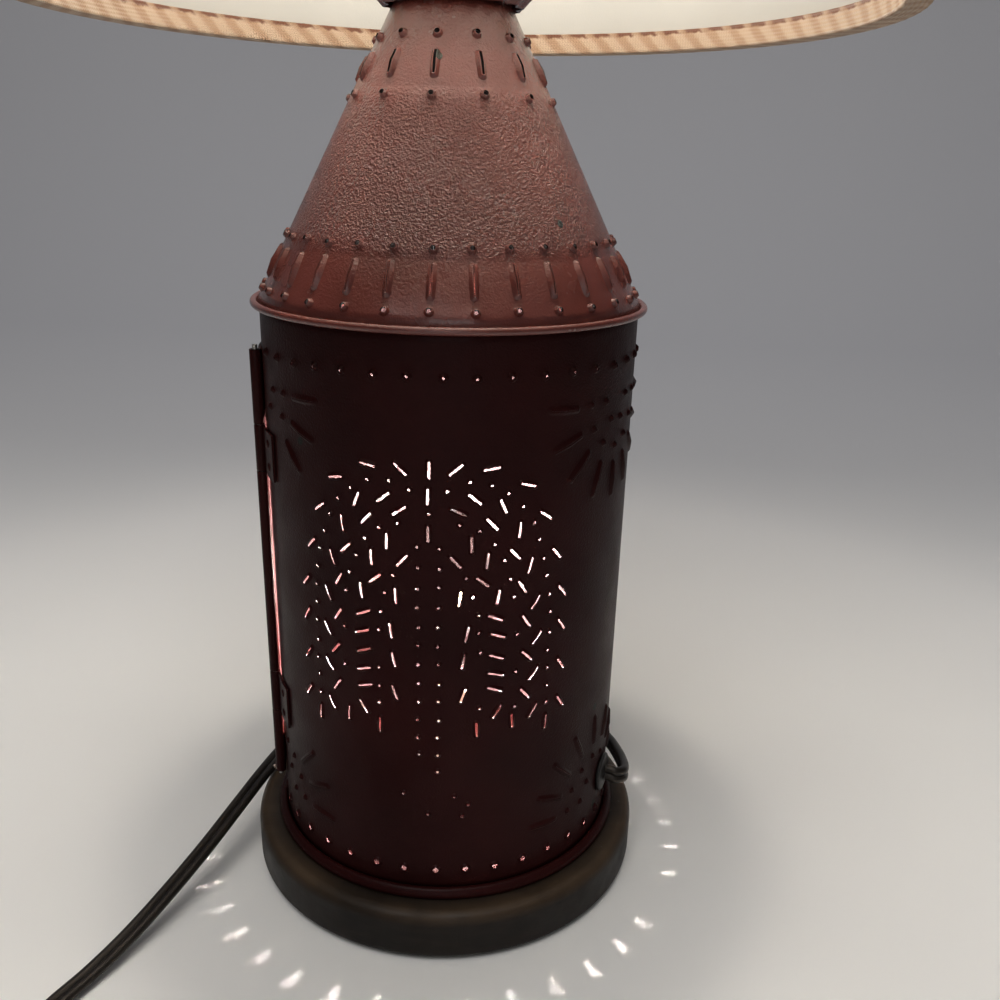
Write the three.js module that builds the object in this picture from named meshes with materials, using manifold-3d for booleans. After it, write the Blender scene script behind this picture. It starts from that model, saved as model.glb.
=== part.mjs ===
// Table lamp: a punched-tin lantern on a wood base, with a tin hood, a harp and a tapered fabric shade.
// Millimetres, +Z up. The origin is the middle of the felt's underside, and the punched tree faces -Y.
// Azimuths are degrees round +Z, counted from -Y towards +X.
import * as THREE from 'three';
import { mergeVertices } from 'three/addons/utils/BufferGeometryUtils.js';
import Module from 'manifold-3d';

const wasm = await Module();
wasm.setup();

// Fits and stock
const clearance = 0.3; // between pieces that fit or rest together
const tin = 0.8; // tinplate thickness
const roundSides = 36; // facets of the large round pieces
const smallSides = 16; // facets of the small round pieces

// Base
const feltThickness = 1.5;
const feltInset = 4; // felt's edge in from the wood's edge
const baseRadius = 75;
const baseHeight = 18;
const baseTopRound = 6;
const baseFootRound = 2;
const screwInset = 18.5; // pan screws in from the lantern's wall
const screwCount = 3;
const screwStart = 30; // first screw's azimuth
const screwShankRadius = 1.7;
const screwHeadRadius = 3.6;
const screwHeadHeight = 2.2;
const screwLength = 12;

// Tin lantern and hood
const bodyRadius = 63.5;
const bodyHeight = 196;
const panRimWidth = 3.4;
const panRimHeight = 4;
const hoodHeight = 89.7;
const hoodTopRadius = 17.4;
const hoodBeadRadius = 1.2; // rolled bead round the hood's foot
const hoodBeadDrop = 1; // bead's middle below the hood's seat
const hoodFlare = 0.2; // bead out from the body, past its own radius
const hoodFlareRise = 0.9; // height above the seat where the cone starts to flare
const collarDepth = 10; // hood's inner collar inside the body
const capRadius = 25;
const capFootRadius = 22; // the crimped skirt narrows downwards
const capFlutes = 16;
const capFluteDepth = 0.9;
const capSkirt = 2.4; // how far the crimped skirt hangs below the hood's top plate

// Door of the lantern
const doorHingeAzimuth = -72;
const doorSpan = 88; // degrees from the hinge to the free edge
const doorRise = 17.2; // door's lower edge above the pan's floor
const doorHeight = 163;
const doorOverlap = 6.5; // door past its opening at the free edge
const doorLapBelow = 17; // door past its opening at its ends
const doorLapAbove = 24;
const hingeLeak = 1.4; // degrees of opening left open beside the hinge
const hingeWireRadius = 0.9;
const barrelWall = 0.7; // tin rolled round the hinge wire
const hingeWireEnd = 1.5; // wire showing past each end of the door
const strapHeight = 16;
const strapReach = 14; // degrees of strap on the body's side of the hinge
const lowerStrapRise = 44.7; // straps' lower edges above the pan's floor
const upperStrapRise = 138.7;
const stapleWireRadius = 0.8;
const stapleHalfWidth = 3;
const stapleProud = 6; // staple's reach out from the body
const staplePastDoor = 5; // degrees from the door's free edge to the staple
const haspHeight = 15;
const haspLap = 10; // degrees of hasp on the door
const haspTip = 3.5; // degrees of hasp past its slot
const slotSwing = 6; // degrees of slot that let the staple pass as the door opens

// Punched pattern
const slitWidth = 1.5;
const leafLength = 5.5;
const dotSize = 1.6;
const trunkHalfGap = 3.2;
const trunkDots = 12;
const dotStep = 6.65;
const trunkRise = 129.7; // heights of the pattern are above the pan's floor
// Leaves of the willow: distance from the trunk, height above the pan's floor and lean of the tip outwards
const treeLeaves = [
  [0, 154.3, 0],
  [0, 146.5, 4],
  [0, 134.6, 4],
  [18.6, 154.7, 85],
  [8.3, 154.4, 46],
  [30.4, 148.9, -74],
  [22.6, 143.1, -24],
  [14.1, 145.2, -46],
  [37.2, 137.9, -52],
  [8.8, 141.2, -60],
  [19.2, 137.6, -42],
  [28.3, 134.8, 7],
  [12.9, 131, 0],
  [41.8, 124.6, -42],
  [27.2, 126.8, -46],
  [18.1, 125.3, 8],
  [32.6, 121.9, 18],
  [8.1, 125.3, -46],
  [45, 110.8, -38],
  [29.9, 115.2, -34],
  [16.6, 118.4, -48],
  [21.7, 113.2, 6],
  [34.6, 109.4, 30],
  [10, 113, 2],
  [45.4, 98.7, -36],
  [31.2, 102.9, -36],
  [20.9, 106, -68],
  [35.4, 96.5, 36],
  [22.1, 99.2, -68],
  [12.2, 101.2, 12],
  [45.8, 83.9, -37],
  [32.4, 90.3, -42],
  [21.5, 92.2, -68],
  [35.2, 83.3, 37],
  [21.9, 85.7, -73],
  [11, 91.1, 12],
  [46.3, 69.8, -34],
  [32.3, 77.1, -38],
  [21.5, 79.9, -74],
  [35.2, 69.5, 31],
  [22.1, 72, 29],
  [11.2, 78.7, 17],
  [40.5, 63.6, 2],
  [28, 67.8, -2],
  [15.9, 66, 1],
];
const sunArc = 69.5; // suns' distance from the trunk, along the tin
const lowSunRise = 20.7; // lower suns' centres above the pan's floor
const highSunDrop = 25.5; // upper suns' centres below the body's top
const sunRays = 9;
const sunRayStart = 22;
const sunRayLength = 10;
const hoodLowSlits = 30;
const hoodLowRise = 11.8; // bands of slits above the hood's seat
const hoodHighSlits = 13;
const hoodHighRise = 69.5;
const hoodHighStart = -4.9; // first slit's azimuth in the upper band
const hoodSlitLength = 8.2;

// Threaded pipes and nuts
const pipeRadius = 4.8;
const pipeBore = 3;
const pipeDrop = 8; // pipe below the sheet that it passes
const pipeGrip = 10; // pipe above the piece that it clamps
const nutFlats = 14;
const nutThickness = 4;
const recessMargin = 3; // wood recess round the nut

// Light inside the lantern
const innerSocketRadius = 10.5;
const innerSocketFoot = 9;
const innerSocketHeight = 48;
const innerSeat = 18; // depth of the bulb's seat
const innerScrewRadius = 5.9;
const innerNeckRadius = 5.2;
const innerBulbRadius = 17;
const innerGlassHeight = 76;
const innerWidest = 0.42; // share of the glass's height where it is widest

// Upper socket and bulb
const saddleHalf = 38; // saddle's posts from the axis
const saddleThickness = 1.2;
const saddleWidth = 11;
const saddleFlat = 12; // half the flat part under the socket
const saddleEnd = 3; // strip past each post, both ways
const saddleRise = 8; // posts' seats above the cap
const postRadius = 1.6;
const postHeight = 12;
const sleeveWall = 1.1;
const sleeveLength = 17.7;
const shellRadius = 16;
const shellWall = 0.6;
const shellHeight = 43;
const linerWall = 0.6;
const socketCapRise = 13; // foot of the shell above the saddle
const socketCapLip = 5; // shell held in the cap
const screwBaseRadius = 13.1;
const bulbSeat = 24;
const bulbProud = 2; // bulb's base above the socket's core
const bulbNeckRadius = 12.2;
const bulbRadius = 30;
const glassHeight = 82;
const bulbWidest = 0.63;
const glassWall = 0.8;
const knobStemRadius = 1.5;
const knobRise = 9; // switch's axis above the shell's foot
const knobReach = 9;
const knobPaddle = 9;
const knobHalfWidth = 6.5;
const knobThickness = 3.5;

// Harp, shade and finial
const harpWireRadius = 1.6;
const harpHeight = 193.7;
const harpSpread = 57; // half the harp's widest gap
const harpLeg = 46; // straight length of each leg
const studRadius = 3;
const studLength = 14;
const shoulderRadius = 6;
const shoulderHeight = 2.1; // harp's shoulder above the wire's middle
const shadeBottomRadius = 137;
const shadeTopRadius = 72;
const shadeHeight = 234.5;
const shadeWall = 1.2;
const shadeRise = 14.7; // shade's top edge above the spider's washer
const ringWireRadius = 1.5;
const trimHeight = 9;
const trimWall = 0.9;
const washerRadius = 9;
const washerThickness = 1.4;
const spiderArms = 3;
const finialRadius = 8.5;
const finialHeight = 30;

// Cord, plug and wiring
const cordWidth = 6.7;
const cordThickness = 3.5;
const leadRadius = 1.5;
const leadSpacing = 2.4; // leads from the bushing's middle
const leadStraight = 4; // leads leave the bushing square
const leadRise = 4; // lower lead's end above the pan's floor
const leadClimb = 16; // upper lead's first bend above the bushing
const bushingAzimuth = 73;
const bushingRise = 22.7; // bushing's middle above the pan's floor
const bushingHole = 6;
const bushingFlange = 7.5;
const bushingThickness = 1.5;
const coilCentre = new THREE.Vector2(-78.5, -162);
const coilRadius = 47.5; // outermost turn's middle
const coilPitch = 7.4;
const coilTurnsIn = 3.25;
const coilTurnsOut = 3.083;
const coilFloor = 3; // lower layer's middle above the table
const coilLayer = 4.2;
const climbStart = 3; // turns from the start, half a turn long
const coilSteps = 24; // steps in a turn
const tailLength = 30;
const tailRise = 8.2;
const tieWall = 0.5;
const tieWidth = 7;
const tieAzimuth = 235; // degrees round the coil, from +X
const plugLength = 28;
const plugHalfWidth = 12.5;
const plugNeck = 4.5;
const plugThickness = 15;
const bladeLength = 16;
const bladeThickness = 1.5;
const bladeSpacing = 12.7;
const narrowBlade = 6.3;
const wideBlade = 7.9;

// Middle of the free cord from the bushing to the coil: x, y, z and the tilt of its flat side from level
const cordRoute = [
  [66.2, -20.1, 42.5, 90],
  [69.2, -18, 41.6, 90],
  [70.4, -13.2, 40.2, 90],
  [70.2, -4.5, 38, 90],
  [69.2, 5, 35.8, 88],
  [67, 16, 33.6, 84],
  [63, 28, 31.4, 76],
  [56.6, 40, 29.4, 64],
  [47, 51.8, 27.6, 48],
  [34.5, 61.6, 25.6, 31],
  [19.5, 68.8, 23.4, 15],
  [2.5, 72.3, 22.1, 5],
  [-17.6, 70.4, 21.8, 0],
  [-36.3, 62.9, 21.8, 0],
  [-52.2, 50.4, 21.8, 0],
  [-64.1, 34.1, 21.9, 0],
  [-71.3, 17.8, 22, 0],
  [-76, -1, 21.5, 0],
  [-80.9, -20.5, 19.3, 0],
  [-87.3, -41.3, 15.3, 0],
  [-94.7, -60.2, 10.7, 0],
  [-102.5, -78, 6.5, 0],
  [-109.8, -92.9, 4, 0],
  [-115.8, -105, 3.3, 0],
  [-120.5, -119, 3, 0],
  [-124, -133.5, 3, 0],
  [-125.8, -145.5, 3, 0],
];

// Levels worked out from the sizes above
const baseTop = feltThickness + baseHeight;
const panTop = baseTop + tin;
const bodyTop = panTop + bodyHeight;
const hoodSeat = bodyTop + clearance;
const hoodTop = hoodSeat + hoodHeight;
const capTop = hoodTop + 2 * tin;
const saddleTop = capTop + saddleThickness;
const postSeat = capTop + saddleRise;
const postTop = postSeat + postHeight;
const harpFoot = postTop + clearance;
const harpTop = harpFoot + harpHeight;
const shoulderTop = harpTop + shoulderHeight;
const washerFoot = shoulderTop + clearance;
const washerTop = washerFoot + washerThickness;
const shadeTop = washerFoot + shadeRise;
const shadeFoot = shadeTop - shadeHeight;
const doorFoot = panTop + doorRise;
const doorTop = doorFoot + doorHeight;
const barrelBore = hingeWireRadius + clearance;
const barrelRadius = barrelBore + barrelWall;
const hingeRadius = bodyRadius + clearance + barrelRadius;
const pipeHole = pipeRadius + clearance;
const bushingHeight = panTop + bushingRise;
const shellFoot = saddleTop + socketCapRise;
const shellTop = shellFoot + shellHeight;

// Finishes
function finish(color, roughness, metalness) {
  return { color, roughness, metalness };
}
const redTin = finish(0x5c2f2a, 0.45, 0.25);
const darkWood = finish(0x2e2620, 0.55, 0);
const brass = finish(0x9a7a42, 0.35, 0.9);
const steel = finish(0x9d9c98, 0.4, 0.9);
const blackPlastic = finish(0x141313, 0.5, 0);
const felt = finish(0x23301f, 0.95, 0);
const clearGlass = finish(0xf2eee2, 0.15, 0);
const cream = finish(0xe8dfc8, 0.85, 0);
const rustCheck = finish(0x9a6a45, 0.9, 0);
const card = finish(0x5b4632, 0.9, 0);

const lamp = new THREE.Group();

// Adds a finished solid to the lamp under its name.
function addPiece(name, piece, look) {
  const { vertProperties, triVerts } = piece.getMesh();
  const geometry = new THREE.BufferGeometry();
  geometry.setAttribute('position', new THREE.Float32BufferAttribute(vertProperties, 3));
  geometry.setIndex([...triVerts]);
  geometry.computeVertexNormals();
  const mesh = new THREE.Mesh(geometry, new THREE.MeshStandardMaterial(look));
  mesh.name = name;
  lamp.add(mesh);
}

// A point at an azimuth, radius and height.
function polar(azimuth, radius, height = 0) {
  const angle = THREE.MathUtils.degToRad(azimuth);
  return new THREE.Vector3(radius * Math.sin(angle), -radius * Math.cos(angle), height);
}

// Degrees that a length covers round the body.
function degreesOf(length) {
  return THREE.MathUtils.radToDeg(length / bodyRadius);
}

// A closed geometry as a solid: shared corners are merged and faces with no area left out.
function solid(geometry) {
  const bare = new THREE.BufferGeometry();
  bare.setAttribute('position', geometry.getAttribute('position'));
  bare.setIndex(geometry.index);
  const merged = mergeVertices(bare, 1e-4);
  const corners = merged.index.array;
  const triangles = [];
  for (let i = 0; i < corners.length; i += 3) {
    const [a, b, c] = corners.slice(i, i + 3);
    if (a !== b && b !== c && c !== a) triangles.push([a, b, c]);
  }
  const vertProperties = new Float32Array(merged.attributes.position.array);
  const asManifold = (rows) =>
    new wasm.Manifold(new wasm.Mesh({ numProp: 3, vertProperties, triVerts: new Uint32Array(rows.flat()) }));
  const made = asManifold(triangles);
  return made.volume() > 0 ? made : asManifold(triangles.map(([a, b, c]) => [a, c, b]));
}

// A turned piece: a closed outline of [radius, height] carried round an upright axis, then put in place.
function turned(outline, sides = roundSides, place = new THREE.Matrix4()) {
  const points = [...outline, outline[0]].map(([radius, height]) => new THREE.Vector2(radius, height));
  return solid(new THREE.LatheGeometry(points, sides).rotateX(Math.PI / 2).applyMatrix4(place));
}

// The outline of a tube or, with no bore, of a plain cylinder.
function tubeOutline(bore, radius, foot, top) {
  return [
    [bore, foot],
    [radius, foot],
    [radius, top],
    [bore, top],
  ];
}

function moved(x, y, z = 0) {
  return new THREE.Matrix4().makeTranslation(x, y, z);
}

// An upright prism from a flat outline of [x, y].
function prism(outline, foot, top) {
  const shape = new THREE.Shape(outline.map(([x, y]) => new THREE.Vector2(x, y)));
  const geometry = new THREE.ExtrudeGeometry(shape, { depth: top - foot, bevelEnabled: false });
  return solid(geometry.translate(0, 0, foot));
}

// An upright wedge about the axis, between two azimuths and reaching past the radius.
function sector(from, to, radius, foot, top) {
  const steps = Math.ceil((to - from) / 15);
  const outline = [[0, 0]];
  for (let i = 0; i <= steps; i++) {
    const { x, y } = polar(from + ((to - from) * i) / steps, radius * 1.2);
    outline.push([x, y]);
  }
  return prism(outline, foot, top);
}

// A regular polygon as a shape, for the section of a round wire or tube.
function roundShape(radius, sides) {
  const points = [];
  for (let i = 0; i < sides; i++) {
    const angle = (2 * Math.PI * i) / sides;
    points.push(new THREE.Vector2(radius * Math.cos(angle), radius * Math.sin(angle)));
  }
  return new THREE.Shape(points);
}

// A round wire along a smooth curve through points.
function wire(points, radius, steps, sides = 8) {
  const extrudePath = new THREE.CatmullRomCurve3(points);
  const section = roundShape(radius, sides);
  return solid(new THREE.ExtrudeGeometry(section, { steps, bevelEnabled: false, extrudePath }));
}

// Points of an arc from one angle to another, in degrees from the first axis, as an outline's corners.
function arc(centreX, centreY, radius, from, to, steps) {
  const points = [];
  for (let i = 0; i <= steps; i++) {
    const angle = THREE.MathUtils.degToRad(from + ((to - from) * i) / steps);
    points.push([centreX + radius * Math.cos(angle), centreY + radius * Math.sin(angle)]);
  }
  return points;
}

// A hexagonal nut under or over a sheet.
function nut(foot) {
  const corners = arc(0, 0, nutFlats / Math.sqrt(3), 0, 300, 5);
  return prism(corners, foot, foot + nutThickness).subtract(
    turned(tubeOutline(0, pipeHole, foot - 1, foot + nutThickness + 1), smallSides),
  );
}

// A box through the tin at an azimuth and height, leaning by a tilt from upright.
function punch(azimuth, height, radius, width, length, tilt) {
  const place = new THREE.Matrix4().makeRotationZ(THREE.MathUtils.degToRad(azimuth));
  place.multiply(moved(0, -radius, height));
  place.multiply(new THREE.Matrix4().makeRotationY(THREE.MathUtils.degToRad(tilt)));
  return solid(new THREE.BoxGeometry(width, 10 * tin, length).applyMatrix4(place));
}

// Base: felt, turned wood and the tin pan screwed to it
const recessRadius = nutFlats / Math.sqrt(3) + recessMargin;
const recessFoot = baseTop - pipeDrop - 1;
const screwPlaces = [];
for (let i = 0; i < screwCount; i++) {
  screwPlaces.push(polar(screwStart + (360 * i) / screwCount, bodyRadius - screwInset));
}

addPiece('felt_pad', turned(tubeOutline(0, baseRadius - feltInset, 0, feltThickness)), felt);

let woodBase = turned([
  [0, feltThickness],
  ...arc(baseRadius - baseFootRound, feltThickness + baseFootRound, baseFootRound, -90, 0, 1),
  ...arc(baseRadius - baseTopRound, baseTop - baseTopRound, baseTopRound, 0, 90, 3),
  [0, baseTop],
]);
woodBase = woodBase.subtract(turned(tubeOutline(0, recessRadius, recessFoot, baseTop + 1), smallSides));

let bottomPan = turned([
  [0, baseTop],
  [bodyRadius + clearance + panRimWidth, baseTop],
  ...arc(bodyRadius + clearance, baseTop + panRimHeight - panRimWidth, panRimWidth, 0, 75, 2),
  [bodyRadius + clearance, baseTop + panRimHeight],
  [bodyRadius + clearance, panTop],
  [0, panTop],
]);
bottomPan = bottomPan.subtract(turned(tubeOutline(0, pipeHole, baseTop - 1, panTop + 1), smallSides));

screwPlaces.forEach(({ x, y }, i) => {
  const tip = panTop - screwLength;
  const hole = tubeOutline(0, screwShankRadius + clearance, tip - clearance, panTop + 1);
  woodBase = woodBase.subtract(turned(hole, 10, moved(x, y)));
  bottomPan = bottomPan.subtract(turned(hole, 10, moved(x, y)));
  const outline = [
    [0, tip],
    [screwShankRadius, tip + screwShankRadius],
    [screwShankRadius, panTop],
    [screwHeadRadius, panTop],
    [screwHeadRadius * 0.75, panTop + screwHeadHeight],
    [0, panTop + screwHeadHeight],
  ];
  addPiece(`pan_screw_${i + 1}`, turned(outline, 10, moved(x, y)), steel);
});
addPiece('wood_base', woodBase, darkWood);
addPiece('bottom_pan', bottomPan, redTin);

// Punched tree: its leaves on both sides of the trunk, and the trunk's dots
const bodyCuts = [];
function punchBody(across, height, tilt, length, width = slitWidth) {
  bodyCuts.push(punch(degreesOf(across), height, bodyRadius, width, length, -tilt));
}
for (const [across, rise, lean] of treeLeaves) {
  punchBody(across, panTop + rise, -lean, leafLength);
  if (across > 0) punchBody(-across, panTop + rise, lean, leafLength);
}
for (let i = 0; i < trunkDots; i++) {
  const height = panTop + trunkRise - i * dotStep;
  for (const side of [1, -1]) punchBody(side * trunkHalfGap, height, 45, dotSize, dotSize);
}

// Half suns in the body's corners: their rays point away from the body's ends
const doorEdgeArc = THREE.MathUtils.degToRad(doorHingeAzimuth + hingeLeak) * bodyRadius;
for (const side of [1, -1]) {
  for (const up of [1, -1]) {
    const height = up > 0 ? bodyTop - highSunDrop : panTop + lowSunRise;
    for (let ray = 0; ray < sunRays; ray++) {
      const angle = (Math.PI * ray) / (sunRays - 1);
      const reach = sunRayStart + sunRayLength / 2;
      const across = side * sunArc + reach * Math.cos(angle);
      const clearOfDoor = across - sunRayLength / 2 > doorEdgeArc + tin;
      const tilt = THREE.MathUtils.radToDeg(Math.PI / 2 - angle) * up;
      if (clearOfDoor) punchBody(across, height - up * reach * Math.sin(angle), tilt, sunRayLength);
    }
  }
}

// Lantern body: the punched cylinder with its door opening and cord hole
const overlapDegrees = degreesOf(doorOverlap);
const doorFreeAzimuth = doorHingeAzimuth - doorSpan;
const bushingPlace = new THREE.Matrix4()
  .makeRotationZ(THREE.MathUtils.degToRad(bushingAzimuth))
  .multiply(moved(0, 0, bushingHeight))
  .multiply(new THREE.Matrix4().makeRotationX(Math.PI / 2));
const doorOpening = sector(
  doorFreeAzimuth + overlapDegrees,
  doorHingeAzimuth + hingeLeak,
  bodyRadius,
  doorFoot + doorLapBelow,
  doorTop - doorLapAbove,
);
const cordHole = tubeOutline(0, bushingHole, bodyRadius / 2, bodyRadius * 1.2);
const lanternBody = turned(tubeOutline(bodyRadius - tin, bodyRadius, panTop, bodyTop))
  .subtract(doorOpening)
  .subtract(turned(cordHole, smallSides, bushingPlace))
  .subtract(wasm.Manifold.union(bodyCuts));
addPiece('lantern_body', lanternBody, redTin);

// Door: a curved panel rolled round the hinge wire, cut away where the straps' loops sit
const hinge = polar(doorHingeAzimuth, hingeRadius);
const atHinge = moved(hinge.x, hinge.y);
const skinInner = bodyRadius + clearance;
const skinOuter = skinInner + tin;
const strapFeet = { upper: panTop + upperStrapRise, lower: panTop + lowerStrapRise };
const barrelSides = 12;

let doorPanel = turned(tubeOutline(skinInner, skinOuter, doorFoot, doorTop))
  .intersect(sector(doorFreeAzimuth, doorHingeAzimuth, bodyRadius, doorFoot - 1, doorTop + 1))
  .add(turned(tubeOutline(0, barrelRadius, doorFoot, doorTop), barrelSides, atHinge))
  .subtract(turned(tubeOutline(0, barrelBore, doorFoot - 1, doorTop + 1), barrelSides, atHinge));
for (const [level, foot] of Object.entries(strapFeet)) {
  const top = foot + strapHeight;
  const room = tubeOutline(0, barrelRadius + 2 * clearance, foot - clearance, top + clearance);
  doorPanel = doorPanel.subtract(turned(room, barrelSides, atHinge));
  const strap = turned(tubeOutline(skinInner, skinOuter, foot, top))
    .intersect(sector(doorHingeAzimuth, doorHingeAzimuth + strapReach, bodyRadius, foot - 1, top + 1))
    .add(turned(tubeOutline(0, barrelRadius, foot, top), barrelSides, atHinge))
    .subtract(turned(tubeOutline(0, barrelBore, foot - 1, top + 1), barrelSides, atHinge));
  addPiece(`hinge_strap_${level}`, strap, redTin);
}
addPiece('door_panel', doorPanel, redTin);
const hingeWire = tubeOutline(0, hingeWireRadius, doorFoot - hingeWireEnd, doorTop + hingeWireEnd);
addPiece('hinge_wire', turned(hingeWire, barrelSides, atHinge), steel);

// Hasp on the door and the wire staple on the body that its slot drops over
const haspMiddle = (doorFoot + doorTop) / 2;
const stapleAzimuth = doorFreeAzimuth - staplePastDoor;
const slotHalfHeight = stapleHalfWidth + stapleWireRadius + 2 * clearance;
const slotNear = stapleAzimuth + degreesOf(stapleWireRadius + 2 * clearance);
const slotFar = stapleAzimuth - slotSwing - degreesOf(stapleWireRadius);
const haspInner = skinOuter + clearance;
const haspFoot = haspMiddle - haspHeight / 2;
const haspTop = haspFoot + haspHeight;
const hasp = turned(tubeOutline(haspInner, haspInner + tin, haspFoot, haspTop))
  .intersect(sector(slotFar - haspTip, doorFreeAzimuth + haspLap, bodyRadius, haspFoot - 1, haspTop + 1))
  .subtract(sector(slotFar, slotNear, bodyRadius, haspMiddle - slotHalfHeight, haspMiddle + slotHalfHeight));
addPiece('door_hasp', hasp, redTin);

const stapleFoot = bodyRadius + clearance;
const staplePoints = [
  polar(stapleAzimuth, stapleFoot, haspMiddle - stapleHalfWidth),
  polar(stapleAzimuth, stapleFoot + stapleProud * 0.6, haspMiddle - stapleHalfWidth),
  polar(stapleAzimuth, stapleFoot + stapleProud - stapleWireRadius, haspMiddle),
  polar(stapleAzimuth, stapleFoot + stapleProud * 0.6, haspMiddle + stapleHalfWidth),
  polar(stapleAzimuth, stapleFoot, haspMiddle + stapleHalfWidth),
];
addPiece('hasp_staple', wire(staplePoints, stapleWireRadius, 12, 6), steel);

// Hood: a punched cone with a rolled bead outside the body and a collar inside it
const hoodFootRadius = bodyRadius + clearance / 3;
const collarOuter = bodyRadius - tin - clearance;
const beadX = bodyRadius + clearance + hoodFlare + hoodBeadRadius;
const beadZ = hoodSeat - hoodBeadDrop;
const hoodSlope = (hoodFootRadius - hoodTopRadius) / hoodHeight;
const hoodSkin = tin * Math.hypot(1, hoodSlope); // level thickness of the sloping wall
const collarInner = collarOuter - tin;
const hoodRadiusAt = (height) => hoodFootRadius - hoodSlope * (height - hoodSeat);
let hood = turned([
  [collarOuter, hoodSeat - collarDepth],
  [collarOuter, hoodSeat],
  [bodyRadius + clearance, hoodSeat],
  ...arc(beadX, beadZ, hoodBeadRadius, 150, 470, 5),
  [hoodRadiusAt(hoodSeat + hoodFlareRise), hoodSeat + hoodFlareRise],
  [hoodTopRadius, hoodTop],
  [hoodTopRadius, hoodTop + tin],
  [pipeHole, hoodTop + tin],
  [pipeHole, hoodTop],
  [hoodTopRadius - hoodSkin, hoodTop],
  [collarInner, hoodSeat + (hoodFootRadius - hoodSkin - collarInner) / hoodSlope],
  [collarInner, hoodSeat - collarDepth],
]);
const hoodCuts = [];
const hoodBands = [
  [hoodLowSlits, hoodLowRise, 0],
  [hoodHighSlits, hoodHighRise, hoodHighStart],
];
for (const [count, rise, start] of hoodBands) {
  const height = hoodSeat + rise;
  for (let i = 0; i < count; i++) {
    const azimuth = start + (360 * i) / count;
    hoodCuts.push(punch(azimuth, height, hoodRadiusAt(height), slitWidth, hoodSlitLength, 0));
  }
}
hood = hood.subtract(wasm.Manifold.union(hoodCuts));
addPiece('cone_hood', hood, redTin);

// Crimped cap: a fluted lid whose skirt hangs round the hood's top
const fluteOutline = [];
for (let i = 0; i < capFlutes * 3; i++) {
  const angle = (2 * Math.PI * i) / (capFlutes * 3);
  const radius = capRadius - capFluteDepth + capFluteDepth * Math.cos(angle * capFlutes);
  fluteOutline.push([radius * Math.cos(angle), radius * Math.sin(angle)]);
}
const capFoot = hoodTop - capSkirt;
const skirtWall = tin + 2 * capFluteDepth;
const crimpedCap = prism(fluteOutline, capFoot, capTop)
  .warp((point) => {
    const share = (point[2] - capFoot) / (capTop - capFoot);
    const width = THREE.MathUtils.lerp(capFootRadius, capRadius, share) / capRadius;
    point[0] *= width;
    point[1] *= width;
  })
  .subtract(turned(tubeOutline(0, capFootRadius - skirtWall, capFoot - 1, hoodTop + tin)))
  .subtract(turned(tubeOutline(0, pipeHole, capFoot, capTop + 1), smallSides));
addPiece('crimped_cap', crimpedCap, redTin);

// Pipes and nuts that clamp the lights to the pan and the hood
const innerPipeTop = panTop + pipeGrip;
const lampPipeFoot = hoodTop - pipeDrop;
const lampPipeTop = saddleTop + pipeGrip;
const innerPipe = tubeOutline(pipeBore, pipeRadius, baseTop - pipeDrop, innerPipeTop);
const lampPipe = tubeOutline(pipeBore, pipeRadius, lampPipeFoot, lampPipeTop);
addPiece('inner_pipe', turned(innerPipe, smallSides), steel);
addPiece('inner_nut', nut(baseTop - nutThickness), steel);
addPiece('lamp_pipe', turned(lampPipe, smallSides), brass);
addPiece('hood_nut', nut(hoodTop - nutThickness), steel);

// A bulb: a screw base with its contact, and a blown glass shell open at the neck
function addBulb(prefix, seat, seatDepth, screwRadius, neckRadius, radius, height, widest) {
  const foot = seat + clearance;
  const glassFoot = foot + seatDepth;
  const base = [
    [0, foot],
    [screwRadius * 0.5, foot],
    [screwRadius * 0.5, foot + seatDepth * 0.1],
    [screwRadius, foot + seatDepth * 0.2],
    [screwRadius, foot + seatDepth * 0.9],
    [neckRadius, glassFoot],
    [0, glassFoot],
  ];
  addPiece(`${prefix}_base`, turned(base, smallSides), brass);
  const tip = glassFoot + height;
  const swell = new THREE.CatmullRomCurve3([
    new THREE.Vector3(neckRadius, 0, glassFoot),
    new THREE.Vector3(neckRadius * 1.15, 0, glassFoot + height * 0.14),
    new THREE.Vector3(radius * 0.93, 0, glassFoot + height * (widest - 0.22)),
    new THREE.Vector3(radius, 0, glassFoot + height * widest),
    new THREE.Vector3(radius * 0.7, 0, glassFoot + height * (widest + (1 - widest) * 0.72)),
    new THREE.Vector3(0, 0, tip),
  ]);
  const outer = swell.getPoints(8).map(({ x, z }) => [Math.max(x, 0), z]);
  outer[outer.length - 1] = [0, tip];
  const inner = outer.slice(0, -1).map(([x, z]) => [x - glassWall, z]);
  inner.push([0, tip - glassWall]);
  addPiece(`${prefix}_glass`, turned([...outer, ...inner.reverse()], smallSides), clearGlass);
}

// Light inside the lantern: a slim socket on the pan and a candle-shaped bulb
const innerSocketTop = panTop + innerSocketHeight;
const innerSocket = [
  [pipeHole, panTop],
  [innerSocketFoot, panTop],
  [innerSocketFoot, panTop + innerSocketHeight * 0.15],
  [innerSocketRadius, panTop + innerSocketHeight * 0.2],
  [innerSocketRadius, innerSocketTop],
  [innerScrewRadius + clearance, innerSocketTop],
  [innerScrewRadius + clearance, innerSocketTop - innerSeat],
  [0, innerSocketTop - innerSeat],
  [0, innerPipeTop + clearance],
  [pipeHole, innerPipeTop + clearance],
];
addPiece('inner_socket', turned(innerSocket, smallSides), cream);
addBulb(
  'inner_bulb',
  innerSocketTop - innerSeat,
  innerSeat,
  innerScrewRadius,
  innerNeckRadius,
  innerBulbRadius,
  innerGlassHeight,
  innerWidest,
);

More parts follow.
